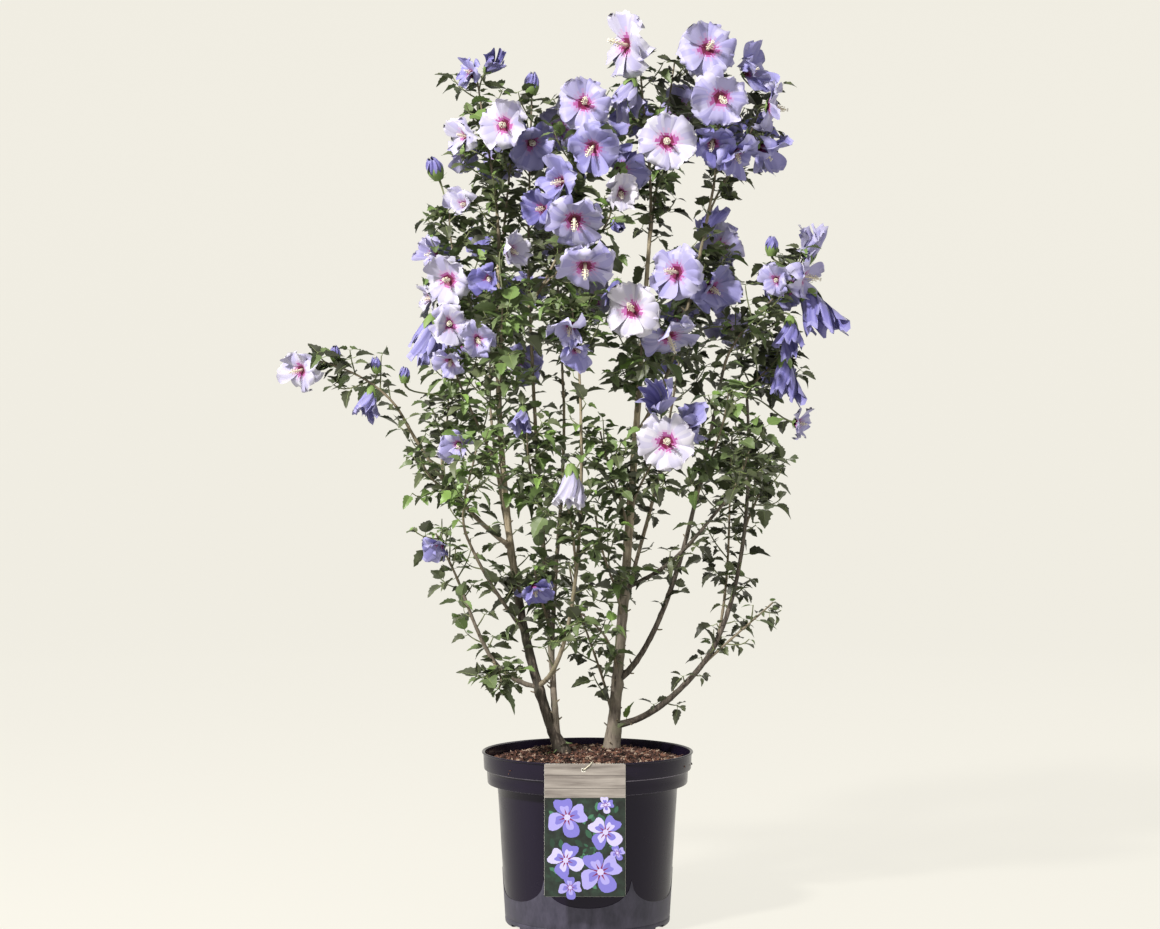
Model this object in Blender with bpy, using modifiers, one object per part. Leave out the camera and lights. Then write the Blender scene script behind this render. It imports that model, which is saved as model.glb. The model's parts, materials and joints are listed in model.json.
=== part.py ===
"""A potted rose of sharon: a round nursery pot of bark compost, two trunks with their boughs,
and the sprays of twigs, leaves and flowers that stand on them.

Metres, +Z up. The origin is the centre of the pot's flat underside, and the front is at -Y.
Limbs, sprays and flowers are placed in centimetres by their front view: how far across from
the pot's axis, how high above its foot, and how deep behind the axis.
"""

import math
import random
from collections import namedtuple

import bmesh
import bpy
import numpy as np
from mathutils import Vector
from mathutils.bvhtree import BVHTree
from mathutils.geometry import interpolate_bezier

CM = 0.01
MM = 0.001
GAP = 0.3 * MM
WELD = 0.01 * MM
UP = Vector((0, 0, 1))

# The front view: the eye stands level, this far in front of the pot's axis and this high
EYE_DISTANCE = 3.2
EYE_HEIGHT = 0.648

# The pot
POT_HEIGHT = 0.242
POT_FOOT_RADIUS = 0.1162
POT_NECK_RADIUS = 0.1285
POT_RIM_RADIUS = 0.150
POT_WALL = 2.2 * MM
POT_FLOOR = 3.0 * MM
POT_SIDES = 32
LOWER_BAND_FOOT = 0.1965
LOWER_BAND_TOP = 0.2165
LOWER_BAND_RADIUS = 0.1430
UPPER_BAND_RADIUS = 0.1480
LIP_HEIGHT = 3.0 * MM
SLOT_COUNT = 6
SLOT_WIDTH = 0.024
SLOT_HEIGHT = 3.8 * MM
SLOT_DEPTH = 0.010

# The compost
SOIL_TOP = 0.2400
SOIL_EDGE = 0.2270
SOIL_CROWN_RADIUS = 0.078
SOIL_SHOULDER = (0.106, 0.236)
SOIL_SLOPE_FOOT = (0.126, 0.229)

# The hanging label and its tie
CARD_WIDTH = 0.110
CARD_HEIGHT = 0.180
CARD_THICKNESS = 1.0 * MM
CARD_ACROSS = -0.004
CARD_TOP = 0.2425
HOLE_ACROSS = -0.006
HOLE_HEIGHT = 0.2342
HOLE_RADIUS = 2.0 * MM
TIE_THICKNESS = 1.2 * MM
TIE_SHIFT = 0.012

# Limbs and sprays. A bevel level of 1 gives six sides, of 2 eight
TRUNK_BEVEL = 2
BOUGH_BEVEL = 1
LIMB_POINTS = 8
TRUNK_POINTS = 15
TRUNK_FLARE = 0.45
FLARE_HEIGHT = 0.020
TAPER = 0.8
SQUARE_START = 4 * MM
STEM_POINTS = 5
# Three-sided stems are drawn wider, to be as stout as a round limb
STEM_SWELL = 1.3
SIDE_STEM_RADIUS = 2.2 * MM
STEM_TIP_RADIUS = 1.9 * MM
TWIG_RADIUS = 1.3 * MM
TWIG_TIP_RADIUS = 1.2 * MM
TWIG_FROM = 0.16
TWIG_TO = 0.92
TWIG_SPREAD = 52
TWIG_LIFT = 0.25
# Twigs grow shorter by this much from a stem's foot to its tip
TWIG_SHORTENS = 0.35
TWIG_LENGTHS = (0.8, 1.1)
SIDE_STEM_LEAN = 1.4
# How much of its length a crowded twig tries, and how far round it swings
TWIG_TRIES = ((1, 0), (1, 0.8), (1, -0.8), (0.7, 0), (0.7, 0.8), (0.7, -0.8), (0.4, 0), (0.4, 1.5))
TURN = math.radians(137.5)
LEAF_STEP = 0.036
STEM_LEAVES = (0.30, 0.95)
TWIG_LEAVES = (0.45, 0.80)
LEAF_LENGTH = 0.056
LEAF_WIDTH = 0.044
LEAF_WIDEST = 0.42
LEAF_ROLL = 0.9
LEAF_DROOP = (0.1, 1.2)
LAST_LEAF_DROOPS = 0.7
LEAF_LEAN = 0.45
LEAF_SIZES = (0.82, 1.12)
LEAF_SWINGS = (0, 0.9, -0.9)
LEAF_FOLD = 2.6 * MM
LEAF_SINK = 0.4 * MM
STALK_RADIUS = 1.3 * MM
CALYX_RADIUS = 3.0 * MM
OWN_MARGIN = 2.5 * MM
LIMB_MARGIN = 1.2 * MM

# How far the crown spreads to the left and right of the pot's axis, and its top
CROWN_LEFT = -0.445
CROWN_RIGHT = 0.352
CROWN_TOP = 1.297

Limb = namedtuple("Limb", "name parent rises tip leans aways grips radii")
Spray = namedtuple("Spray", "name limb share tip aim reach twigs")
Flower = namedtuple("Flower", "kind across height depth width heading tilt")

# Each trunk's foot: across and depth
STANDS = {"trunk_left": (-2.6, -0.5), "trunk_right": (3.3, 4.5)}

# name, parent, the height where it leaves its parent (None: it carries on from the tip), its tip,
# its lean to the right at foot and tip, its lean to the back at foot and tip, how firmly foot and
# tip hold those directions, and its radii in millimetres
LIMBS = (
    Limb("trunk_left", "", None, (-12.6, 94.0, 1.0), (-34, 2), (0, 0), (0.20, 0.40), (8.6, 2.6)),
    Limb("trunk_right", "", None, (8.9, 98.0, 2.0), (5, 4), (0, -2), (0.33, 0.33), (9.6, 2.6)),
    Limb("stem_left_second", "trunk_left", 25.6, (-8.2, 88.0, 7.5), (-4, -2), (-8, 4),
         (0.30, 0.33), (4.6, 2.0)),
    Limb("stem_left_rear", "trunk_left", 25.0, (-3.5, 77.0, 13.0), (-12, -4), (22, 4),
         (0.30, 0.33), (4.4, 1.9)),
    Limb("stem_pale", "trunk_left", 33.4, (-1.2, 78.0, -9.0), (62, -3), (-50, -4),
         (0.22, 0.40), (3.6, 1.8)),
    Limb("bough_left_low", "trunk_left", 33.2, (-18.0, 47.2, -5.0), (-80, -22), (-12, -4),
         (0.40, 0.38), (3.6, 2.0)),
    Limb("bough_left_mid", "trunk_left", 40.8, (-17.0, 54.1, -8.0), (-34, -22), (-30, -14),
         (0.33, 0.33), (3.2, 2.0)),
    Limb("arm_left", "trunk_left", 53.0, (-26.4, 71.8, -3.0), (-54, -28), (-8, -6),
         (0.33, 0.33), (3.6, 2.0)),
    Limb("bough_right_low", "trunk_right", 27.2, (15.7, 35.6, 1.5), (82, 40), (-14, -4),
         (0.35, 0.30), (5.0, 3.8)),
    Limb("bough_right_rise", "bough_right_low", None, (22.7, 74.0, 4.0), (38, -3), (-4, 6),
         (0.25, 0.35), (3.8, 2.0)),
    Limb("bough_right_mid", "trunk_right", 33.6, (19.3, 78.2, -2.0), (52, 12), (-14, 4),
         (0.22, 0.33), (4.8, 2.1)),
    Limb("bough_right_cross", "trunk_right", 47.0, (19.3, 59.2, -8.0), (68, 40), (-26, -10),
         (0.38, 0.30), (3.4, 2.0)),
    Limb("bough_centre_high", "trunk_left", 82.0, (-3.9, 95.3, -5.0), (48, 24), (-22, -8),
         (0.33, 0.33), (2.6, 1.9)),
    Limb("bough_top_right", "trunk_right", 69.0, (17.7, 103.1, 0.0), (34, 12), (-12, 2),
         (0.33, 0.33), (3.0, 2.0)),
    Limb("bough_back_left", "trunk_left", 45.5, (-13.5, 70.0, 15.0), (-12, -6), (48, 10),
         (0.38, 0.30), (3.4, 2.0)),
    Limb("bough_back_right", "trunk_right", 41.0, (11.5, 70.0, 17.0), (10, 8), (46, 10),
         (0.38, 0.30), (3.8, 2.0)),
)

# name, limb, the share of the limb's length where it stands (1: it carries on from the tip), its
# tip, the direction of its tip, the length of its longest twig in centimetres, and its twigs
SPRAYS = (
    Spray("spray_far_left", "arm_left", 1.0, (-38.6, 79.6, -5.0), (-78, -8), 4.2, 5),
    Spray("spray_arm_high", "arm_left", 0.55, (-19.8, 74.5, 3.0), (-4, 4), 5.0, 6),
    Spray("spray_arm_low", "arm_left", 0.40, (-23.4, 64.8, -10.5), (-24, -12), 4.6, 5),
    Spray("spray_left_low", "bough_left_low", 1.0, (-21.6, 55.0, -7.5), (-26, -6), 5.0, 6),
    Spray("tuft_left_low", "bough_left_low", 0.40, (-12.6, 33.0, -8.5), (-150, -30), 3.0, 2),
    Spray("spray_left_mid", "bough_left_mid", 1.0, (-15.6, 68.3, -11.5), (8, -4), 5.4, 8),
    Spray("spray_left_edge_low", "trunk_left", 0.62, (-20.0, 82.5, -7.0), (-10, -8), 6.0, 8),
    Spray("spray_left_edge", "trunk_left", 0.80, (-19.6, 100.5, -4.0), (4, -4), 6.2, 9),
    Spray("spray_left_top", "trunk_left", 1.0, (-15.6, 119.0, 0.0), (-8, -4), 6.2, 9),
    Spray("spray_left_crest", "trunk_left", 0.93, (-10.4, 112.0, 6.5), (6, 6), 5.0, 6),
    Spray("spray_left_face", "trunk_left", 0.70, (-12.0, 89.0, -12.5), (4, -8), 6.0, 8),
    Spray("spray_second_top", "stem_left_second", 1.0, (-7.9, 116.5, 4.0), (2, -4), 6.0, 9),
    Spray("spray_second_low", "stem_left_second", 0.50, (-8.6, 69.5, -9.0), (2, -8), 6.0, 8),
    Spray("tuft_middle_low", "stem_left_second", 0.26, (-7.6, 50.5, -6.0), (-4, -10), 3.0, 2),
    Spray("spray_rear_top", "stem_left_rear", 1.0, (-4.8, 99.0, 16.5), (-4, 6), 6.6, 8),
    Spray("spray_pale_top", "stem_pale", 1.0, (-2.2, 87.0, -11.0), (-2, -6), 5.4, 7),
    Spray("spray_pale_low", "stem_pale", 0.50, (-3.6, 63.5, -15.0), (-8, -10), 5.4, 7),
    Spray("spray_centre_top", "bough_centre_high", 1.0, (-0.6, 116.5, -5.0), (4, 2), 6.0, 9),
    Spray("spray_centre_side", "bough_centre_high", 0.60, (3.4, 101.0, -9.0), (14, -6), 5.6, 6),
    Spray("spray_right_crest", "trunk_right", 1.0, (7.4, 123.5, 1.0), (-2, -4), 5.8, 9),
    Spray("tuft_crown", "trunk_right", 0.96, (12.4, 122.0, 8.0), (8, 4), 5.2, 8),
    Spray("spray_right_face", "trunk_right", 0.66, (8.0, 86.5, -9.5), (4, -10), 6.0, 8),
    Spray("spray_right_low", "trunk_right", 0.48, (10.6, 70.0, -11.0), (10, -8), 5.6, 7),
    Spray("spray_inner_face", "trunk_right", 0.44, (1.8, 69.5, -5.5), (-10, -6), 5.4, 8),
    Spray("spray_crown_right", "bough_top_right", 1.0, (18.8, 121.0, -1.0), (4, -2), 5.6, 8),
    Spray("spray_crown_edge", "bough_top_right", 0.90, (25.0, 117.5, 4.0), (10, 2), 5.2, 7),
    Spray("spray_crown_low", "bough_top_right", 0.55, (17.0, 93.0, 8.0), (6, 8), 6.0, 8),
    Spray("spray_right_out", "bough_right_mid", 1.0, (30.6, 94.0, -1.0), (26, 4), 6.0, 9),
    Spray("spray_right_mid", "bough_right_mid", 0.62, (20.0, 75.0, -11.5), (6, -6), 5.8, 8),
    Spray("spray_right_side", "bough_right_rise", 1.0, (27.5, 81.0, 6.0), (14, 6), 5.6, 8),
    Spray("spray_right_edge", "bough_right_rise", 0.62, (26.0, 66.0, 7.0), (4, 6), 5.0, 7),
    Spray("twig_right_low", "bough_right_rise", 0.06, (26.4, 45.2, 2.0), (48, 2), 3.2, 4),
    Spray("spray_right_twin", "bough_right_rise", 0.28, (20.6, 69.0, 12.0), (4, 4), 5.4, 6),
    Spray("spray_right_cross", "bough_right_cross", 1.0, (23.6, 68.5, -9.5), (18, -4), 5.4, 7),
    Spray("spray_inner_low", "trunk_right", 0.285, (1.2, 57.5, -7.0), (-4, -6), 5.0, 6),
    Spray("spray_inner_back", "trunk_right", 0.09, (-2.6, 51.0, 12.5), (-6, 8), 5.0, 6),
    Spray("tuft_inner", "trunk_right", 0.19, (-1.2, 43.8, -6.5), (-54, -14), 3.4, 3),
    Spray("spray_back_left", "bough_back_left", 1.0, (-13.0, 92.0, 18.0), (4, 4), 6.6, 8),
    Spray("spray_back_right", "bough_back_right", 1.0, (15.0, 93.0, 20.0), (6, 4), 6.6, 8),
)

# Flowers by spray. Kind, place, width in centimetres, and where it faces: degrees round from the
# front towards the right, and degrees above level
FLOWERS = {
    "spray_far_left": (
        Flower("open", -40.9, 78.2, -6.0, 6.6, -40, -12),
        Flower("bud", -35.9, 80.6, -5.0, 2.0, 0, 60),
        Flower("bud", -30.1, 79.0, -4.0, 2.0, -20, 70),
        Flower("furled", -31.2, 73.4, -5.0, 3.4, -30, -70),
    ),
    "spray_arm_high": (
        Flower("furled", -19.3, 66.9, -2.5, 4.2, -20, -35),
        Flower("bud", -26.0, 77.6, -1.0, 2.0, 0, 80),
    ),
    "spray_left_low": (Flower("half", -21.2, 52.9, -9.5, 4.6, -30, -50),),
    "spray_left_edge_low": (
        Flower("furled", -22.8, 82.6, -6.0, 4.6, -40, -72),
        Flower("half", -19.6, 84.8, -9.5, 5.8, 5, -5),
        Flower("half", -15.6, 82.4, -11.5, 5.0, 10, -20),
        Flower("half", -19.6, 79.2, -10.5, 4.6, -20, -40),
    ),
    "spray_left_edge": (
        Flower("half", -22.3, 94.7, -4.0, 5.4, -60, 0),
        Flower("open", -19.8, 91.0, -9.0, 7.0, -15, -8),
        Flower("half", -22.8, 88.4, -3.0, 5.0, -75, -10),
        Flower("half", -17.7, 101.8, -6.0, 5.0, -20, 5),
        Flower("bud", -21.8, 107.0, -3.0, 3.0, -30, 50),
        Flower("half", -20.5, 93.5, 3.5, 5.4, -150, 0),
    ),
    "spray_left_top": (
        Flower("half", -16.9, 120.6, -1.0, 4.6, -40, 10),
        Flower("furled", -13.4, 121.8, 0.5, 3.2, 30, 20),
        Flower("half", -17.9, 111.5, -3.5, 5.2, -55, 0),
        Flower("open", -11.9, 113.0, -7.0, 7.4, -15, -8),
        Flower("half", -17.5, 109.5, 5.0, 6.0, -160, 5),
    ),
    "spray_left_crest": (
        Flower("half", -12.5, 107.5, 11.0, 6.4, 185, 5),
    ),
    "spray_left_face": (
        Flower("furled", -10.9, 95.2, -13.0, 5.0, 10, -65),
        Flower("half", -14.1, 91.2, -15.0, 5.0, -10, -15),
    ),
    "spray_second_top": (
        Flower("half", -7.8, 110.4, -0.5, 6.8, 15, -20),
        Flower("bud", -7.9, 119.0, 4.0, 2.8, 10, 75),
        Flower("half", -6.8, 101.2, -1.5, 6.0, -35, 0),
        Flower("open", -4.0, 112.5, 9.0, 7.2, 170, 5),
    ),
    "spray_second_low": (Flower("furled", -9.3, 71.0, -11.5, 3.0, 0, -50),),
    "tuft_middle_low": (Flower("half", -7.4, 46.8, -6.5, 5.4, 30, -50),),
    "spray_rear_top": (
        Flower("open", -4.2, 97.0, 21.5, 7.6, 175, -5),
        Flower("half", -9.0, 90.0, 20.0, 6.4, 205, -15),
        Flower("open", 0.8, 88.0, 20.5, 7.4, 160, -10),
        Flower("half", -3.0, 105.0, 17.5, 6.2, 190, 20),
    ),
    "spray_pale_top": (
        Flower("furled", -2.6, 84.4, -15.0, 4.6, 0, -70),
        Flower("half", -1.4, 81.0, -13.0, 4.8, 30, -30),
    ),
    "spray_pale_low": (Flower("furled", -2.3, 61.4, -17.0, 4.2, 10, -78),),
    "spray_centre_top": (
        Flower("open", -0.5, 116.2, -7.0, 7.4, 0, 6),
        Flower("open", 0.6, 109.8, -10.0, 7.6, -22, -28),
        Flower("half", -4.4, 105.0, -10.0, 6.6, -50, -5),
        Flower("open", -1.9, 99.4, -12.0, 8.4, 5, -40),
        Flower("half", 0.6, 110.5, 1.0, 6.6, 165, 0),
    ),
    "spray_centre_side": (
        Flower("open", -0.4, 92.8, -17.0, 8.0, 0, -50),
        Flower("half", 5.2, 107.0, -3.0, 6.6, 150, 15),
        Flower("half", 4.8, 103.2, -11.5, 6.2, 10, -22),
        Flower("furled", 4.4, 98.0, -9.0, 4.0, 20, -60),
    ),
    "spray_right_crest": (
        Flower("open", 5.4, 125.4, -2.0, 8.8, 42, -12),
        Flower("furled", 5.6, 117.0, -3.0, 4.8, -20, -50),
        Flower("open", 11.3, 110.7, -9.0, 8.2, 0, 0),
        Flower("half", 6.5, 114.0, 6.5, 6.8, 185, 5),
    ),
    "tuft_crown": (
        Flower("half", 14.4, 122.2, 4.5, 5.0, 10, 15),
        Flower("open", 13.5, 115.0, 12.5, 7.6, 170, 5),
    ),
    "spray_right_face": (
        Flower("open", 6.3, 86.8, -13.5, 7.8, -5, 0),
        Flower("open", 11.4, 83.2, -9.0, 8.2, 95, -20),
        Flower("open", 12.4, 92.2, -9.5, 8.2, -32, 4),
        Flower("furled", 4.2, 89.4, -9.5, 3.4, 0, -40),
    ),
    "spray_right_low": (
        Flower("furled", 9.9, 74.0, -13.0, 5.0, -10, 25),
        Flower("open", 11.2, 68.0, -15.0, 8.2, -4, 2),
        Flower("half", 14.4, 69.8, -11.5, 6.6, 110, 0),
    ),
    "spray_crown_right": (
        Flower("open", 17.2, 124.0, -4.0, 8.0, 8, 8),
        Flower("open", 19.0, 116.9, -8.0, 8.4, 5, -20),
        Flower("open", 19.2, 109.4, -5.0, 8.2, -150, -10),
        Flower("half", 18.5, 112.5, 5.5, 6.8, 180, 10),
    ),
    "spray_crown_edge": (
        Flower("half", 23.4, 121.0, 0.0, 6.6, 45, 10),
        Flower("open", 26.2, 115.6, -1.5, 7.6, 80, -6),
        Flower("half", 25.4, 109.0, -1.5, 7.0, 75, -45),
        Flower("half", 24.0, 112.0, 8.5, 6.4, 150, -5),
    ),
    "spray_crown_low": (
        Flower("half", 18.1, 89.6, -1.5, 6.8, 40, -20),
        Flower("open", 19.0, 95.5, 13.0, 7.4, 150, 0),
        Flower("half", 13.0, 86.0, 11.5, 6.0, 190, -20),
    ),
    "spray_right_out": (
        Flower("furled", 31.9, 96.2, 0.0, 4.0, 20, 60),
        Flower("open", 30.8, 91.6, -3.5, 7.8, 75, -12),
        Flower("half", 26.7, 91.0, -5.0, 4.6, -20, -10),
        Flower("furled", 32.6, 86.6, -1.5, 5.8, 40, -55),
        Flower("furled", 28.9, 83.0, -4.0, 3.8, 0, -70),
        Flower("bud", 26.2, 95.9, -1.0, 2.4, 0, 80),
        Flower("open", 28.5, 90.0, 4.5, 7.2, 165, -5),
    ),
    "spray_right_side": (
        Flower("furled", 28.2, 77.0, 1.0, 4.6, 10, -75),
        Flower("half", 30.4, 70.6, 5.0, 4.8, 70, -10),
        Flower("half", 27.0, 78.0, 10.5, 6.2, 165, -5),
    ),
    "spray_back_left": (
        Flower("open", -14.5, 88.5, 22.5, 7.6, 195, -5),
        Flower("half", -18.0, 82.0, 19.0, 6.2, 230, -10),
        Flower("half", -9.5, 79.5, 21.0, 6.6, 170, -25),
        Flower("furled", -15.0, 95.5, 18.5, 4.4, 200, 40),
    ),
    "spray_back_right": (
        Flower("open", 15.5, 90.0, 24.5, 8.0, 170, 0),
        Flower("half", 20.5, 84.0, 21.5, 6.6, 130, -10),
        Flower("open", 10.5, 81.0, 22.5, 7.6, 190, -20),
        Flower("furled", 17.5, 98.0, 20.5, 4.6, 160, 45),
    ),
}

# A flower's length from its calyx forward, as a share of its width; how far along that its rim
# lies, and how far across
FLOWER_LENGTH = {"open": 0.22, "half": 0.44, "furled": 1.4, "bud": 1.2}
RIM_SHARE = {"open": 1, "half": 1, "furled": 0.62, "bud": 0.5}
OPEN_SHARE = {"open": 1, "half": 1, "furled": 0.8, "bud": 0.8}
RIM_CORNERS = {"open": 6, "half": 6, "furled": 3, "bud": 3}
CUP_WALL = 0.05


def place(across, height, depth):
    """A point in metres from its place in the front view, in centimetres."""
    spread = 1 + depth * CM / EYE_DISTANCE
    return Vector((
        across * CM * spread,
        depth * CM,
        EYE_HEIGHT + (height * CM - EYE_HEIGHT) * spread,
    ))


def leaning(lean, away):
    """A unit direction from its leans off upright, to the right and to the back, in degrees."""
    lean, away = math.radians(lean), math.radians(away)
    return Vector((math.sin(lean) * math.cos(away), math.sin(away), math.cos(lean) * math.cos(away)))


def facing(heading, tilt):
    """A unit direction from degrees round from the front to the right, and degrees above level."""
    heading, tilt = math.radians(heading), math.radians(tilt)
    return Vector((
        math.sin(heading) * math.cos(tilt),
        -math.cos(heading) * math.cos(tilt),
        math.sin(tilt),
    ))


def bent(foot, foot_way, tip, tip_way, grips, count):
    """Points along one smooth bend that leaves foot and reaches tip in the given directions."""
    span = (tip - foot).length
    near = foot + foot_way * span * grips[0]
    far = tip - tip_way * span * grips[1]
    return interpolate_bezier(foot, near, far, tip, count)


def along(line, share):
    """The point at this share of a line's points, and the direction there."""
    spot = min(share, 0.9999) * (len(line) - 1)
    step = int(spot)
    way = (line[step + 1] - line[step]).normalized()
    return line[step].lerp(line[step + 1], spot - step), way


def at_height(line, height):
    """The first point of a rising line at this height."""
    for low, high in zip(line, line[1:]):
        if low.z <= height <= high.z:
            return low.lerp(high, (height - low.z) / (high.z - low.z))
    raise ValueError(f"no point at height {height}")


def material(name, colour, roughness):
    made = bpy.data.materials.new(name)
    made.use_nodes = True
    shader = made.node_tree.nodes["Principled BSDF"]
    shader.inputs["Base Color"].default_value = (*colour, 1)
    shader.inputs["Roughness"].default_value = roughness
    shader.inputs["Metallic"].default_value = 0
    return made


def collection(name, shown=True):
    made = bpy.data.collections.new(name)
    bpy.context.scene.collection.children.link(made)
    made.hide_render = not shown
    return made


def stored(name, mesh, home, surface=None):
    made = bpy.data.objects.new(name, mesh)
    home.objects.link(made)
    if surface:
        mesh.materials.clear()
        mesh.materials.append(surface)
    return made


def mesh_of(shape, name):
    """A mesh from a closed bmesh, its faces turned outwards; the bmesh is freed."""
    bmesh.ops.recalc_face_normals(shape, faces=shape.faces)
    if shape.calc_volume(signed=True) < 0:
        bmesh.ops.reverse_faces(shape, faces=shape.faces)
    mesh = bpy.data.meshes.new(name)
    shape.to_mesh(mesh)
    shape.free()
    return mesh


def evaluated_mesh(piece):
    """The mesh of an object with its modifiers or its bevel."""
    graph = bpy.context.evaluated_depsgraph_get()
    return bpy.data.meshes.new_from_object(piece.evaluated_get(graph))


def turned(name, profile, sides, home, surface):
    """A closed profile turned round the upright axis."""
    shape = bmesh.new()
    corners = [shape.verts.new((radius, 0, height)) for radius, height in profile]
    for first, second in zip(corners, corners[1:]):
        shape.edges.new((first, second))
    mesh = bpy.data.meshes.new(name)
    shape.to_mesh(mesh)
    shape.free()
    made = stored(name, mesh, home, surface)
    screw = made.modifiers.new("turned", "SCREW")
    screw.steps = screw.render_steps = sides
    screw.use_merge_vertices = True
    screw.merge_threshold = WELD
    screw.use_normal_calculate = True
    return made


def round_edges(piece, angle=40):
    piece.data.shade_smooth()
    piece.data.set_sharp_from_angle(angle=math.radians(angle))


def tube(name, line, radii, sides_level, home, surface):
    """A tapering round limb along a line, as one closed mesh."""
    curve = bpy.data.curves.new(name, "CURVE")
    curve.dimensions = "3D"
    curve.bevel_depth = max(radii)
    curve.bevel_resolution = sides_level
    curve.use_fill_caps = True
    spline = curve.splines.new("POLY")
    spline.points.add(len(line) - 1)
    for point, spot, radius in zip(spline.points, line, radii):
        point.co = (*spot, 1)
        point.radius = radius / curve.bevel_depth
    guide = bpy.data.objects.new(name + "_line", curve)
    home.objects.link(guide)
    mesh = evaluated_mesh(guide)
    bpy.data.objects.remove(guide)
    bpy.data.curves.remove(curve)
    # The caps of a bevel come loose from its sides
    shape = bmesh.new()
    shape.from_mesh(mesh)
    bmesh.ops.remove_doubles(shape, verts=shape.verts, dist=WELD)
    shape.to_mesh(mesh)
    shape.free()
    made = stored(name, mesh, home, surface)
    round_edges(made, 60)
    return made


def cut(piece, cutter):
    """Cuts another object out of a piece; the cutter is removed."""
    cutter.hide_render = True
    cutter.display_type = "WIRE"
    step = piece.modifiers.new("cut", "BOOLEAN")
    step.operation = "DIFFERENCE"
    step.object = cutter
    step.solver = "EXACT"
    mesh = evaluated_mesh(piece)
    piece.modifiers.remove(step)
    old, piece.data = piece.data, mesh
    bpy.data.meshes.remove(old)
    bpy.data.objects.remove(cutter)


def largest_body(piece):
    """Drops any loose scrap that a cut or a join has left."""
    shape = bmesh.new()
    shape.from_mesh(piece.data)
    left = set(shape.faces)
    bodies = []
    while left:
        body, reached = [], [left.pop()]
        while reached:
            face = reached.pop()
            body.append(face)
            pairs = [edge.link_faces for edge in face.edges if len(edge.link_faces) == 2]
            near = {other for pair in pairs for other in pair} & left
            left -= near
            reached.extend(near)
        bodies.append(body)
    bodies.sort(key=len)
    scrap = [face for body in bodies[:-1] for face in body]
    bmesh.ops.delete(shape, geom=scrap, context="FACES")
    shape.to_mesh(piece.data)
    shape.free()


def pot(home, surface):
    """A thin-walled round pot with two stepped bands under its lip and slots round its foot."""
    wall = POT_WALL
    outer_foot = (POT_FOOT_RADIUS, 0)
    neck = (POT_NECK_RADIUS, LOWER_BAND_FOOT)
    outside = [
        (UPPER_BAND_RADIUS, POT_HEIGHT),
        (POT_RIM_RADIUS - 0.4 * MM, POT_HEIGHT - 0.5 * MM),
        (POT_RIM_RADIUS, POT_HEIGHT - LIP_HEIGHT / 2),
        (POT_RIM_RADIUS - 0.5 * MM, POT_HEIGHT - LIP_HEIGHT),
        (UPPER_BAND_RADIUS, POT_HEIGHT - LIP_HEIGHT - 1 * MM),
        (UPPER_BAND_RADIUS - 1 * MM, LOWER_BAND_TOP + 1 * MM),
        (LOWER_BAND_RADIUS, LOWER_BAND_TOP),
        (LOWER_BAND_RADIUS - 1 * MM, LOWER_BAND_FOOT + 2 * MM),
        (LOWER_BAND_RADIUS - 3 * MM, LOWER_BAND_FOOT),
        neck,
        (POT_FOOT_RADIUS + 0.6 * MM, 5 * MM),
        (POT_FOOT_RADIUS - 1 * MM, 0),
    ]
    inside = [
        (POT_FOOT_RADIUS - wall, POT_FLOOR + 1 * MM),
        (POT_NECK_RADIUS - wall, LOWER_BAND_FOOT + wall),
        (LOWER_BAND_RADIUS - 2 * MM - wall, LOWER_BAND_FOOT + wall + 1 * MM),
        (LOWER_BAND_RADIUS - 1 * MM - wall, LOWER_BAND_TOP + wall),
        (UPPER_BAND_RADIUS - 1 * MM - wall, LOWER_BAND_TOP + wall + 1 * MM),
        (UPPER_BAND_RADIUS - wall, POT_HEIGHT),
        (UPPER_BAND_RADIUS, POT_HEIGHT),
    ]
    profile = outside + [(0, 0), (0, POT_FLOOR)] + [(inside[0][0] - 1 * MM, POT_FLOOR)] + inside
    made = turned("pot", profile, POT_SIDES, home, surface)
    for number in range(SLOT_COUNT):
        # The first slot faces the front
        angle = 2 * math.pi * number / SLOT_COUNT - math.pi / 2
        bpy.ops.mesh.primitive_cube_add(size=1)
        slot = bpy.context.object
        slot.scale = (2 * SLOT_DEPTH, SLOT_WIDTH, 2 * SLOT_HEIGHT)
        slot.location = (outer_foot[0] * math.cos(angle), outer_foot[0] * math.sin(angle), 0)
        slot.rotation_euler.z = angle
        bpy.context.view_layer.update()
        cut(made, slot)
        made.modifiers.clear()
    round_edges(made)
    return made


def soil(home, surface):
    """The compost fills the pot and heaps up round the trunks."""
    side = POT_WALL + 2 * GAP
    band = LOWER_BAND_FOOT + POT_WALL
    profile = [
        (0, SOIL_TOP),
        (SOIL_CROWN_RADIUS, SOIL_TOP),
        SOIL_SHOULDER,
        SOIL_SLOPE_FOOT,
        (UPPER_BAND_RADIUS - 1 * MM - side - 1 * MM, SOIL_EDGE),
        (UPPER_BAND_RADIUS - 2 * MM - side, LOWER_BAND_TOP + POT_WALL + 2 * MM),
        (LOWER_BAND_RADIUS - 2 * MM - side, LOWER_BAND_TOP + POT_WALL),
        (LOWER_BAND_RADIUS - 4 * MM - side, band + 2 * MM),
        (POT_NECK_RADIUS - 1 * MM - side, band),
        (POT_FOOT_RADIUS - 0.6 * MM - side, SLOT_HEIGHT + 2 * MM),
        (POT_FOOT_RADIUS - SLOT_DEPTH - 1 * MM, POT_FLOOR + GAP),
        (0, POT_FLOOR + GAP),
    ]
    made = turned("soil", profile, POT_SIDES, home, surface)
    round_edges(made)
    return made


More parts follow.
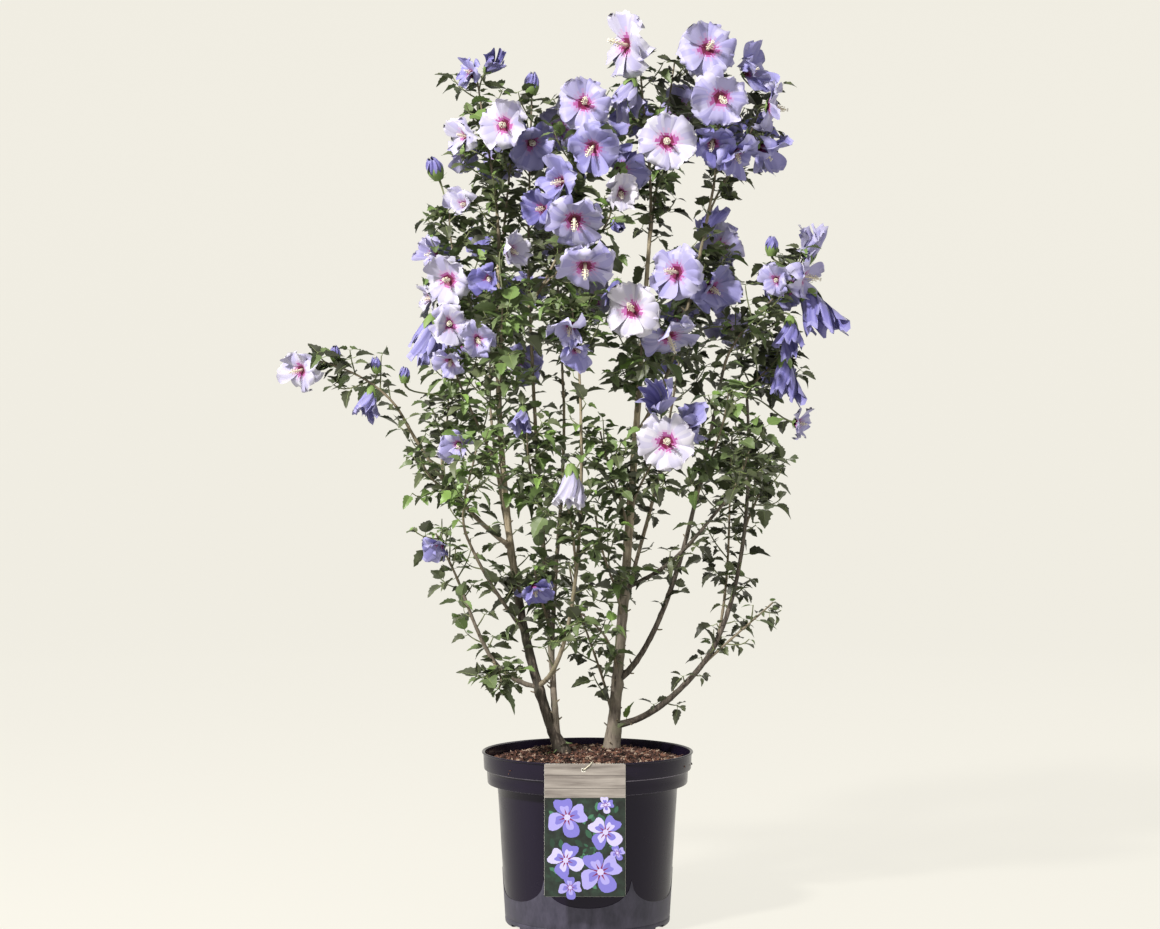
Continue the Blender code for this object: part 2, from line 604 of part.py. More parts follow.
def label(home, surface, tie_surface):
    """A card that hangs in front of the rim, and the tie that goes through it and over the rim."""
    front = -(POT_RIM_RADIUS + GAP + CARD_THICKNESS)
    bpy.ops.mesh.primitive_cube_add(size=1)
    card = bpy.context.object
    card.name = card.data.name = "label_card"
    card.scale = (CARD_WIDTH, CARD_THICKNESS, CARD_HEIGHT)
    card.location = (CARD_ACROSS, front + CARD_THICKNESS / 2, CARD_TOP - CARD_HEIGHT / 2)
    bpy.ops.object.transform_apply(location=True, rotation=False, scale=True)
    for group in list(card.users_collection):
        group.objects.unlink(card)
    home.objects.link(card)
    card.data.materials.append(surface)
    bpy.ops.mesh.primitive_cylinder_add(vertices=12, radius=HOLE_RADIUS, depth=0.02)
    hole = bpy.context.object
    hole.rotation_euler.x = math.pi / 2
    hole.location = (HOLE_ACROSS, front, HOLE_HEIGHT)
    bpy.context.view_layer.update()
    cut(card, hole)

    radius = TIE_THICKNESS / 2
    clear = radius + GAP
    ahead = front - clear
    over = CARD_TOP + clear
    flat_side = UPPER_BAND_RADIUS * (1 - math.cos(math.pi / POT_SIDES))
    inner = -(UPPER_BAND_RADIUS - POT_WALL) + clear + flat_side + 0.1 * MM
    route = (
        (0, -POT_RIM_RADIUS + radius + 0.1 * MM, HOLE_HEIGHT),
        (0, ahead + 0.4 * MM, HOLE_HEIGHT),
        (0.15, ahead - 0.3 * MM, HOLE_HEIGHT + 1.4 * MM),
        (0.75, ahead - 0.2 * MM, CARD_TOP - 1 * MM),
        (0.88, ahead + 0.2 * MM, over + 0.3 * MM),
        (0.94, ahead + 1.2 * MM, over + 1.0 * MM),
        (1.0, inner - 1.6 * MM, over + 1.0 * MM),
        (1.06, inner - 0.3 * MM, over + 0.2 * MM),
        (1.15, inner, POT_HEIGHT - 3 * MM),
        (1.5, inner + 1 * MM, SOIL_EDGE + 2 * MM),
    )
    line = [Vector((HOLE_ACROSS + share * TIE_SHIFT, y, z)) for share, y, z in route]
    tube("label_tie", line, [radius] * len(line), 1, home, tie_surface)


def limb_line(limb, lines):
    """The points along a limb and its radii there."""
    tip = place(*limb.tip)
    ways = [leaning(lean, away) for lean, away in zip(limb.leans, limb.aways)]
    count = LIMB_POINTS
    if not limb.parent:
        across, depth = STANDS[limb.name]
        foot = place(across, 0, depth)
        foot.z = SOIL_TOP - FLARE_HEIGHT
        foot -= ways[0] * FLARE_HEIGHT
        count = TRUNK_POINTS
    elif limb.rises is None:
        last, way = along(lines[limb.parent][0], 1)
        foot = last + way * 1.5 * GAP
        ways[0] = way
    else:
        foot = at_height(lines[limb.parent][0], limb.rises * CM)
    line = bent(foot, ways[0], tip, ways[1], limb.grips, count)
    thick, thin = (radius * MM for radius in limb.radii)
    radii = [thick + (thin - thick) * (step / (count - 1)) ** TAPER for step in range(count)]
    if limb.parent and limb.rises is None:
        # Its first end is square to its parent's last
        line.insert(1, foot + ways[0] * SQUARE_START)
        radii.insert(1, thick)
    if not limb.parent:
        for step, spot in enumerate(line):
            rise = max(0, spot.z - SOIL_TOP) / FLARE_HEIGHT
            radii[step] *= 1 + TRUNK_FLARE * math.exp(-rise)
    return line, radii


def cut_level(piece, height):
    """Cuts a trunk's foot flat, just above the compost."""
    shape = bmesh.new()
    shape.from_mesh(piece.data)
    everything = shape.verts[:] + shape.edges[:] + shape.faces[:]
    bmesh.ops.bisect_plane(
        shape, geom=everything, plane_co=(0, 0, height), plane_no=UP, clear_inner=True)
    bmesh.ops.edgeloop_fill(shape, edges=[edge for edge in shape.edges if edge.is_boundary])
    shape.to_mesh(piece.data)
    shape.free()


def grow_limbs(lines, home, cutters, surface):
    for limb in LIMBS:
        line, radii = lines[limb.name]
        made = tube(limb.name, line, radii, bevel_of(limb.name), home, surface)
        if not limb.parent:
            cut_level(made, SOIL_TOP + GAP)
        elif limb.rises is not None:
            cut(made, swollen(limb.parent, lines, GAP, cutters))
            largest_body(made)


def bevel_of(name):
    return TRUNK_BEVEL if name in STANDS else BOUGH_BEVEL


def swollen(name, lines, margin, home):
    """A limb's round form with this much added all round, as a cutter."""
    line, radii = lines[name]
    wide = [radius + margin for radius in radii]
    return tube(name + "_room", line, wide, bevel_of(name), home, None)


def stem_line(spray, lines):
    """A spray's stem: its line, its radii, and the direction that it leaves its limb in."""
    line, radii = lines[spray.limb]
    foot, way = along(line, spray.share)
    tip = place(*spray.tip)
    aim = leaning(*spray.aim)
    if spray.share == 1:
        foot = foot + way * 1.5 * GAP
        thick = radii[-1]
    else:
        way = (way + SIDE_STEM_LEAN * (tip - foot).normalized()).normalized()
        thick = min(SIDE_STEM_RADIUS, radii[int(spray.share * len(radii))] * 0.8)
    stem = bent(foot, way, tip, aim, (0.33, 0.33), STEM_POINTS)
    thick *= STEM_SWELL
    last = STEM_POINTS - 1
    radii = [thick + (STEM_TIP_RADIUS - thick) * step / last for step in range(STEM_POINTS)]
    return stem, radii, way


def stalk_line(flower, stem):
    """The line from a spray's stem to the back of a flower."""
    back = flower_back(flower)
    root, _ = min(
        (along(stem, share / 20) for share in range(1, 20)),
        key=lambda spot: (back - spot[0]).length + max(0, spot[0].z - back.z + 0.02),
    )
    return [root, back]


def flower_back(flower):
    """Where the stalk meets a flower, from the middle of the flower's face."""
    centre = place(flower.across, flower.height, flower.depth)
    length = flower_length(flower)
    return centre - facing(flower.heading, flower.tilt) * length / 2


def flower_length(flower):
    return flower.width * CM * FLOWER_LENGTH[flower.kind]


def square_to(way, turn):
    """A unit direction square to another, turned about it."""
    side = way.orthogonal().normalized()
    return side * math.cos(turn) + way.cross(side).normalized() * math.sin(turn)


def around(count):
    return [(corner, (corner + 1) % count) for corner in range(count)]


def ring(shape, centre, side, across, radius, count):
    """Corners round a centre, the first one towards the side."""
    angles = [2 * math.pi * corner / count for corner in range(count)]
    return [
        shape.verts.new(centre + radius * (side * math.cos(angle) + across * math.sin(angle)))
        for angle in angles
    ]


def skin(shape, rings):
    """Closes a loft's sides and its first end."""
    shape.faces.new(rings[0][::-1])
    for low, high in zip(rings, rings[1:]):
        for corner, after in around(len(low)):
            shape.faces.new((low[corner], low[after], high[after], high[corner]))


def loft(line, radii, side=None, start=None):
    """A three-sided loft along a line, without a twist, its last end still open."""
    shape = bmesh.new()
    rings = []
    side = side or (line[1] - line[0]).orthogonal()
    for step, (spot, radius) in enumerate(zip(line, radii)):
        before, after = line[max(step - 1, 0)], line[min(step + 1, len(line) - 1)]
        way = start if start and step == 0 else (after - before).normalized()
        side = (side - way * side.dot(way)).normalized()
        rings.append(ring(shape, spot, side, way.cross(side), radius, 3))
    skin(shape, rings)
    return shape, rings, side


def bare_stem(line, radii, start):
    """A spray's stem, its first end square to the direction that it starts in."""
    shape, rings, _ = loft(line, radii, start=start)
    shape.faces.new(rings[-1])
    return mesh_of(shape, "stem")


def flower_on_stalk(flower, stalk):
    """A stalk that widens into a flower: a cup with a lobed rim, or a closed bud."""
    way = facing(flower.heading, flower.tilt)
    width = flower.width * CM
    length = flower_length(flower)
    radii = [STALK_RADIUS] * (len(stalk) - 1) + [CALYX_RADIUS]
    shape, rings, side = loft(stalk, radii)
    throat = rings[-1]
    side = (side - way * side.dot(way)).normalized()
    reach = width / 2 * OPEN_SHARE[flower.kind]
    rim_centre = stalk[-1] + way * length * RIM_SHARE[flower.kind]
    count = RIM_CORNERS[flower.kind]
    rim = ring(shape, rim_centre, side, way.cross(side), reach, count)
    closed = flower.kind in ("furled", "bud")
    front = shape.verts.new(stalk[-1] + way * (length if closed else width * CUP_WALL))
    each = count // 3
    for corner, after in around(3):
        first, last = rim[corner * each], rim[after * each]
        if each == 1:
            shape.faces.new((throat[corner], throat[after], last, first))
        else:
            middle = rim[corner * each + 1]
            shape.faces.new((throat[corner], middle, first))
            shape.faces.new((throat[corner], throat[after], middle))
            shape.faces.new((throat[after], last, middle))
    for corner, after in around(count):
        shape.faces.new((rim[corner], rim[after], front))
    return mesh_of(shape, "flower")


def leaf_sides(root, way, length, width, roll):
    """The two side corners of a folded leaf, its tip, and the direction that its face looks."""
    side = way.cross(UP)
    side = side.normalized() if side.length > 0.1 else way.orthogonal().normalized()
    side = side * math.cos(roll) + way.cross(side) * math.sin(roll)
    face = side.cross(way)
    middle = root + way * length * LEAF_WIDEST + face * LEAF_FOLD
    return middle + side * width / 2, middle - side * width / 2, root + way * length, face


def blade(root, way, length, width, roll):
    """A leaf folded along its midrib, its root sunk in its twig."""
    left, right, tip, _ = leaf_sides(root, way, length, width, roll)
    shape = bmesh.new()
    root = shape.verts.new(root - way * LEAF_SINK)
    left, right, tip = (shape.verts.new(corner) for corner in (left, right, tip))
    for corners in ((root, left, right), (left, tip, right), (root, tip, left), (root, right, tip)):
        shape.faces.new(corners)
    return mesh_of(shape, "leaf")


def leafy_twig(line, heading, length, width, roll):
    """A twig that ends in a leaf."""
    left, right, tip, face = leaf_sides(line[-1], heading, length, width, roll)
    shape, rings, _ = loft(line, (TWIG_RADIUS, TWIG_TIP_RADIUS), face)
    top, below_left, below_right = rings[-1]
    left, right, tip = (shape.verts.new(corner) for corner in (left, right, tip))
    for corners in (
        (top, left, right),
        (left, tip, right),
        (top, below_left, left),
        (below_left, tip, left),
        (below_left, below_right, tip),
        (below_right, right, tip),
        (below_right, top, right),
    ):
        shape.faces.new(corners)
    return mesh_of(shape, "twig")


class Room:
    """The space of each spray: nearer to its own stem and flower stalks than to any other's."""

    def __init__(self, sites):
        self.points = np.array([point for line in sites.values() for point in line])
        self.owner = np.array([name for name, line in sites.items() for _ in line])

    def holds(self, name, corners):
        corners = np.array(corners)
        away = np.linalg.norm(self.points[None] - corners[:, None], axis=2)
        mine = self.owner == name
        own = away[:, mine].min(axis=1)
        other = away[:, ~mine].min(axis=1)
        return bool((own + OWN_MARGIN < other).all())


def outline(mesh):
    """A mesh's corners, the middles of its edges and of its faces."""
    corners = [vert.co for vert in mesh.vertices]
    edges = [(corners[a] + corners[b]) / 2 for a, b in (edge.vertices for edge in mesh.edges)]
    return corners + edges + [face.center for face in mesh.polygons]


def tree_of(mesh):
    corners = [vert.co for vert in mesh.vertices]
    return BVHTree.FromPolygons(corners, [face.vertices[:] for face in mesh.polygons])


def joined_tree(meshes):
    corners, faces = [], []
    for mesh in meshes:
        first = len(corners)
        corners += [vert.co.copy() for vert in mesh.vertices]
        faces += [[first + corner for corner in face.vertices] for face in mesh.polygons]
    return BVHTree.FromPolygons(corners, faces)


class Growth:
    """What a spray carries: every piece keeps to the spray's space, and off all but its carrier."""

    def __init__(self, name, room, barred):
        self.name = name
        self.room = room
        self.barred = barred
        self.pieces = []
        self.trees = {}

    def takes(self, mesh, carrier=None, crosses=False):
        corners = np.array(outline(mesh))
        inside = corners[:, 0].min() > CROWN_LEFT and corners[:, 0].max() < CROWN_RIGHT
        if not inside or corners[:, 2].max() > CROWN_TOP:
            return False
        if not self.room.holds(self.name, corners):
            return False
        tree = tree_of(mesh)
        if self.barred.overlap(tree):
            return False
        others = [other for name, other in self.trees.items() if name != carrier and not crosses]
        if any(other.overlap(tree) for other in others):
            return False
        self.trees[mesh.name] = tree
        self.pieces.append(mesh)
        return True


def grow_twigs(spray, stem, dice, growth):
    """The side twigs of a spray, set round its stem; a crowded one is shortened or left out."""
    turn = dice.uniform(0, 2 * math.pi)
    spread = math.radians(TWIG_SPREAD)
    grown = []
    for number in range(spray.twigs):
        share = TWIG_FROM + (TWIG_TO - TWIG_FROM) * (number + 0.5) / spray.twigs
        root, way = along(stem, share)
        turn += TURN
        length = spray.reach * CM * (1 - TWIG_SHORTENS * share) * dice.uniform(*TWIG_LENGTHS)
        size = dice.uniform(*LEAF_SIZES)
        droop = dice.uniform(*LEAF_DROOP) * LAST_LEAF_DROOPS
        roll = dice.uniform(-LEAF_ROLL, LEAF_ROLL)
        for shorter, swing in TWIG_TRIES:
            side = square_to(way, turn + swing)
            out = way * math.cos(spread) + side * math.sin(spread)
            end = root + (out + UP * TWIG_LIFT).normalized() * length * shorter
            heading = (out + UP * (TWIG_LIFT - droop)).normalized()
            scale = size * (1 + shorter) / 2
            made = leafy_twig([root, end], heading, LEAF_LENGTH * scale, LEAF_WIDTH * scale, roll)
            if growth.takes(made):
                grown.append(([root, end], made.name))
                break
    return grown


def grow_leaves(line, shares, dice, growth, carrier=None):
    """Leaves set by turns along a stem or twig; a crowded one is swung aside or left out."""
    turn = dice.uniform(0, 2 * math.pi)
    for share in shares:
        root, way = along(line, share)
        turn += TURN
        size = dice.uniform(*LEAF_SIZES)
        droop = dice.uniform(*LEAF_DROOP)
        roll = dice.uniform(-LEAF_ROLL, LEAF_ROLL)
        for swing in LEAF_SWINGS:
            heading = (way * LEAF_LEAN + square_to(way, turn + swing) - UP * droop).normalized()
            made = blade(root, heading, LEAF_LENGTH * size, LEAF_WIDTH * size, roll)
            if growth.takes(made, carrier):
                break


def spaced(line, first, last):
    """Shares of a line from first to last, about one leaf's step apart."""
    length = sum((b - a).length for a, b in zip(line, line[1:]))
    count = max(1, round(length * (last - first) / LEAF_STEP))
    return [first + (last - first) * number / count for number in range(count + 1)]


def fused(name, base, pieces, home, surface):
    """One Boolean union of a stem with all that it carries."""
    gathered = collection(name + "_pieces", shown=False)
    for number, mesh in enumerate(pieces):
        stored(f"{name}_{number}", mesh, gathered)
    made = stored(name, base, home, surface)
    step = made.modifiers.new("joined", "BOOLEAN")
    step.operation = "UNION"
    step.operand_type = "COLLECTION"
    step.collection = gathered
    step.solver = "MANIFOLD"
    mesh = evaluated_mesh(made)
    made.modifiers.remove(step)
    made.data = mesh
    for piece in list(gathered.objects):
        bpy.data.objects.remove(piece)
    bpy.data.collections.remove(gathered)
    mesh.materials.clear()
    mesh.materials.append(surface)
    return made


def grow_sprays(lines, home, cutters, surface, fixed):
    stems = {spray.name: stem_line(spray, lines) for spray in SPRAYS}
    flowers = {}
    sites = {}
    for spray in SPRAYS:
        stem = stems[spray.name][0]
        own = [along(stem, share / 16)[0] for share in range(1, 17)]
        flowers[spray.name] = [
            flower_on_stalk(flower, stalk_line(flower, stem)) for flower in FLOWERS.get(spray.name, ())
        ]
        for flower in flowers[spray.name]:
            own += [point.copy() for point in outline(flower)]
        sites[spray.name] = own
    room = Room(sites)

    rooms = [swollen(limb.name, lines, LIMB_MARGIN, cutters) for limb in LIMBS]
    barred = joined_tree([piece.data for piece in rooms] + [piece.data for piece in fixed])
    for piece in rooms:
        bpy.data.objects.remove(piece)

    for spray in SPRAYS:
        dice = random.Random(spray.name)
        stem, radii, start = stems[spray.name]
        growth = Growth(spray.name, room, barred)
        for flower in flowers[spray.name]:
            if not growth.takes(flower, crosses=True):
                raise ValueError(f"a flower of {spray.name} leaves its own space")
        twigs = grow_twigs(spray, stem, dice, growth)
        grow_leaves(stem, spaced(stem, *STEM_LEAVES), dice, growth)
        for line, name in twigs:
            grow_leaves(line, spaced(line, *TWIG_LEAVES), dice, growth, name)
        made = fused(spray.name, bare_stem(stem, radii, start), growth.pieces, home, surface)
        if spray.share < 1:
            cut(made, swollen(spray.limb, lines, GAP, cutters))
        largest_body(made)


def main():
    for old in list(bpy.data.objects):
        bpy.data.objects.remove(old)
    home = collection("rose_of_sharon")
    cutters = collection("cutters", shown=False)
    plastic = material("pot_plastic", (0.016, 0.014, 0.020), 0.35)
    compost = material("compost", (0.075, 0.035, 0.022), 0.95)
    card = material("card", (0.035, 0.055, 0.030), 0.45)
    pale = material("tie", (0.60, 0.58, 0.50), 0.5)
    bark = material("bark", (0.13, 0.10, 0.075), 0.85)
    leaf = material("leaf", (0.055, 0.130, 0.030), 0.55)

    made_pot = pot(home, plastic)
    made_soil = soil(home, compost)
    label(home, card, pale)
    lines = {}
    for limb in LIMBS:
        lines[limb.name] = limb_line(limb, lines)
    grow_limbs(lines, home, cutters, bark)
    bpy.context.view_layer.update()
    grow_sprays(lines, home, cutters, leaf, [made_pot, made_soil])


main()
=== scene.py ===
"""A potted rose of sharon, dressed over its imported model.

Metres, +Z up, the front at -Y. Limbs, sprays and flowers stand where the part's source puts them,
in centimetres by its front view: across from the pot's axis, above its foot, behind the axis.
"""

import json
import random
from collections import namedtuple
from math import cos, exp, hypot, pi, radians, sin, sqrt

import bmesh
import bpy
import numpy as np
from bpy.props import FloatProperty, FloatVectorProperty, IntProperty, PointerProperty
from mathutils import Matrix, Vector, noise
from mathutils.geometry import interpolate_bezier
from mathutils.kdtree import KDTree

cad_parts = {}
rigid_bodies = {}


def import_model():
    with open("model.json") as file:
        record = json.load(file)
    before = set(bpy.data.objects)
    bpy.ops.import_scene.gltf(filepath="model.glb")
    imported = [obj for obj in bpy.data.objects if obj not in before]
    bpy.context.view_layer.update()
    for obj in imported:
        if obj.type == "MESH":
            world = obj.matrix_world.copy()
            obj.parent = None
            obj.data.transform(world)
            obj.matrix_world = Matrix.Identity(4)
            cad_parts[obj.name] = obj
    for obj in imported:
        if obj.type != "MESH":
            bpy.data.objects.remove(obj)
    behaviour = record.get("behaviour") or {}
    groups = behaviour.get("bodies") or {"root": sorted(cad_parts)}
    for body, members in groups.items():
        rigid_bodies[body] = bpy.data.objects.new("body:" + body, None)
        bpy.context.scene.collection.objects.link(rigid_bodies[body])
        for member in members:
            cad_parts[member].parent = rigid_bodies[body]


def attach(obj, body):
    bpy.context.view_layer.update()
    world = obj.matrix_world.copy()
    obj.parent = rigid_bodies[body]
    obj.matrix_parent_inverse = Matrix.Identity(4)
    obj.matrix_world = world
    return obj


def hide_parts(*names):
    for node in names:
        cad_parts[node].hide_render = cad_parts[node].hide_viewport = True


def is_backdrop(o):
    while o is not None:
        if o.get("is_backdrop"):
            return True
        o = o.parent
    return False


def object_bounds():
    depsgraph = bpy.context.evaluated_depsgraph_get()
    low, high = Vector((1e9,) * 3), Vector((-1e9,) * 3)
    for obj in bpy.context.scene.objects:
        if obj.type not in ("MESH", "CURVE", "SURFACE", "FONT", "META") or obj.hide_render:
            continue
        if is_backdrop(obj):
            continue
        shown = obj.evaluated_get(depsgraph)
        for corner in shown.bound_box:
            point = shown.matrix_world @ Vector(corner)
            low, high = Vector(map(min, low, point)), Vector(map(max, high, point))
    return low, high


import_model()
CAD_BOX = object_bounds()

bl_info = {
    "name": "Potted Rose of Sharon",
    "version": (1, 0, 0),
    "blender": (4, 5, 0),
    "location": "View3D > Sidebar > Shrub",
    "description": "Dresses a potted flowering shrub: pot, compost, label, bark, leaves and blossom",
    "category": "Object",
}

CM = 0.01
MM = 0.001
UP = Vector((0, 0, 1))
# From one leaf round a twig to the next
TURN = radians(137.5)
# The camera
EYE_ACROSS = -0.01066
EYE_DISTANCE = 3.2
EYE_HEIGHT = 0.648
EYE_LENS = 69.85

# The source's own sizes
POT_HEIGHT = 0.242
POT_FOOT_RADIUS = 0.1162
POT_NECK_RADIUS = 0.1285
POT_RIM_RADIUS = 0.150
POT_WALL = 2.2 * MM
POT_FLOOR = 3.0 * MM
LOWER_BAND_FOOT = 0.1965
LOWER_BAND_TOP = 0.2165
LOWER_BAND_RADIUS = 0.1430
UPPER_BAND_RADIUS = 0.1480
LIP_HEIGHT = 3.0 * MM
# Where the glossy panels' smooth walls start, over the foot's band, and where they end
PANEL_FOOT = 0.0105
PANEL_TOP = 0.192
SLOT_COUNT = 6
SLOT_WIDTH = 0.024
SLOT_HEIGHT = 3.8 * MM
SLOT_DEPTH = 0.010
SOIL_TOP = 0.2400
SOIL_EDGE = 0.2270
SOIL_RINGS = 40
SOIL_SIDES = 96
SOIL_PROFILE = ((0.0, 0.2400), (0.078, 0.2400), (0.106, 0.236), (0.126, 0.229), (0.1432, 0.2270))
CARD_WIDTH = 0.110
CARD_HEIGHT = 0.180
CARD_THICKNESS = 1.0 * MM
CARD_ACROSS = -0.004
CARD_TOP = 0.2425
CARD_FACE = -(POT_RIM_RADIUS + 0.3 * MM + CARD_THICKNESS)
HOLE_ACROSS = -0.006
HOLE_HEIGHT = 0.2342
HOLE_RADIUS = 2.0 * MM
TIE_RADIUS = 0.6 * MM
TIE_SHIFT = 0.012
# The label's blossoms: across, height, width, turn in radians, and the first of two inks
PRINTED_BLOSSOMS = (
    (-0.024, 0.170, 0.052, 0.3, 6), (0.028, 0.150, 0.046, 0.9, 7), (-0.026, 0.112, 0.046, 1.2, 7),
    (0.021, 0.096, 0.056, 0.5, 6), (-0.020, 0.075, 0.030, 0.1, 6), (0.028, 0.187, 0.022, 0.2, 7),
    (0.044, 0.122, 0.020, 0.4, 6),
)
EYE_INK = 8
RAY_INK = 9
LIMB_POINTS = 8
TRUNK_POINTS = 15
TRUNK_FLARE = 0.45
FLARE_HEIGHT = 0.020
TAPER = 0.8
SQUARE_START = 4 * MM
SIDE_STEM_RADIUS = 2.2 * MM
SIDE_STEM_LEAN = 1.4
FLOWER_LENGTH = {"open": 0.22, "half": 0.44, "furled": 1.4, "bud": 1.2}

Limb = namedtuple("Limb", "name parent rises tip leans aways grips radii")
Spray = namedtuple("Spray", "name limb share tip aim reach twigs")
Flower = namedtuple("Flower", "kind across height depth width heading tilt tint")
Leaf = namedtuple("Leaf", "foot side heading face size kind tint spray")
# Each trunk's foot: across and depth
STANDS = {"trunk_left": (-2.6, -0.5), "trunk_right": (3.3, 4.5)}

# Name, parent, the height where it leaves its parent (None: it carries on from the tip), its tip,
# its lean to the right at foot and tip, its lean to the back at foot and tip, how firmly foot and
# tip hold those directions, and its radii in millimetres
LIMBS = tuple(Limb(*row) for row in (
    ("trunk_left", "", None, (-12.6, 94.0, 1.0), (-34, 2), (0, 0), (0.20, 0.40), (8.6, 2.6)),
    ("trunk_right", "", None, (8.9, 98.0, 2.0), (5, 4), (0, -2), (0.33, 0.33), (9.6, 2.6)),
    ("stem_left_second", "trunk_left", 25.6, (-8.2, 88.0, 7.5), (-4, -2), (-8, 4),
         (0.30, 0.33), (4.6, 2.0)),
    ("stem_left_rear", "trunk_left", 25.0, (-3.5, 77.0, 13.0), (-12, -4), (22, 4),
         (0.30, 0.33), (4.4, 1.9)),
    ("stem_pale", "trunk_left", 33.4, (-1.2, 78.0, -9.0), (62, -3), (-50, -4),
         (0.22, 0.40), (3.6, 1.8)),
    ("bough_left_low", "trunk_left", 33.2, (-18.0, 47.2, -5.0), (-80, -22), (-12, -4),
         (0.40, 0.38), (3.6, 2.0)),
    ("bough_left_mid", "trunk_left", 40.8, (-17.0, 54.1, -8.0), (-34, -22), (-30, -14),
         (0.33, 0.33), (3.2, 2.0)),
    ("arm_left", "trunk_left", 53.0, (-26.4, 71.8, -3.0), (-54, -28), (-8, -6),
         (0.33, 0.33), (3.6, 2.0)),
    ("bough_right_low", "trunk_right", 27.2, (15.7, 35.6, 1.5), (82, 40), (-14, -4),
         (0.35, 0.30), (5.0, 3.8)),
    ("bough_right_rise", "bough_right_low", None, (22.7, 74.0, 4.0), (38, -3), (-4, 6),
         (0.25, 0.35), (3.8, 2.0)),
    ("bough_right_mid", "trunk_right", 33.6, (19.3, 78.2, -2.0), (52, 12), (-14, 4),
         (0.22, 0.33), (4.8, 2.1)),
    ("bough_right_cross", "trunk_right", 47.0, (19.3, 59.2, -8.0), (68, 40), (-26, -10),
         (0.38, 0.30), (3.4, 2.0)),
    ("bough_centre_high", "trunk_left", 82.0, (-3.9, 95.3, -5.0), (48, 24), (-22, -8),
         (0.33, 0.33), (2.6, 1.9)),
    ("bough_top_right", "trunk_right", 69.0, (17.7, 103.1, 0.0), (34, 12), (-12, 2),
         (0.33, 0.33), (3.0, 2.0)),
    ("bough_back_left", "trunk_left", 45.5, (-13.5, 70.0, 15.0), (-12, -6), (48, 10),
         (0.38, 0.30), (3.4, 2.0)),
    ("bough_back_right", "trunk_right", 41.0, (11.5, 70.0, 17.0), (10, 8), (46, 10),
         (0.38, 0.30), (3.8, 2.0)),
))

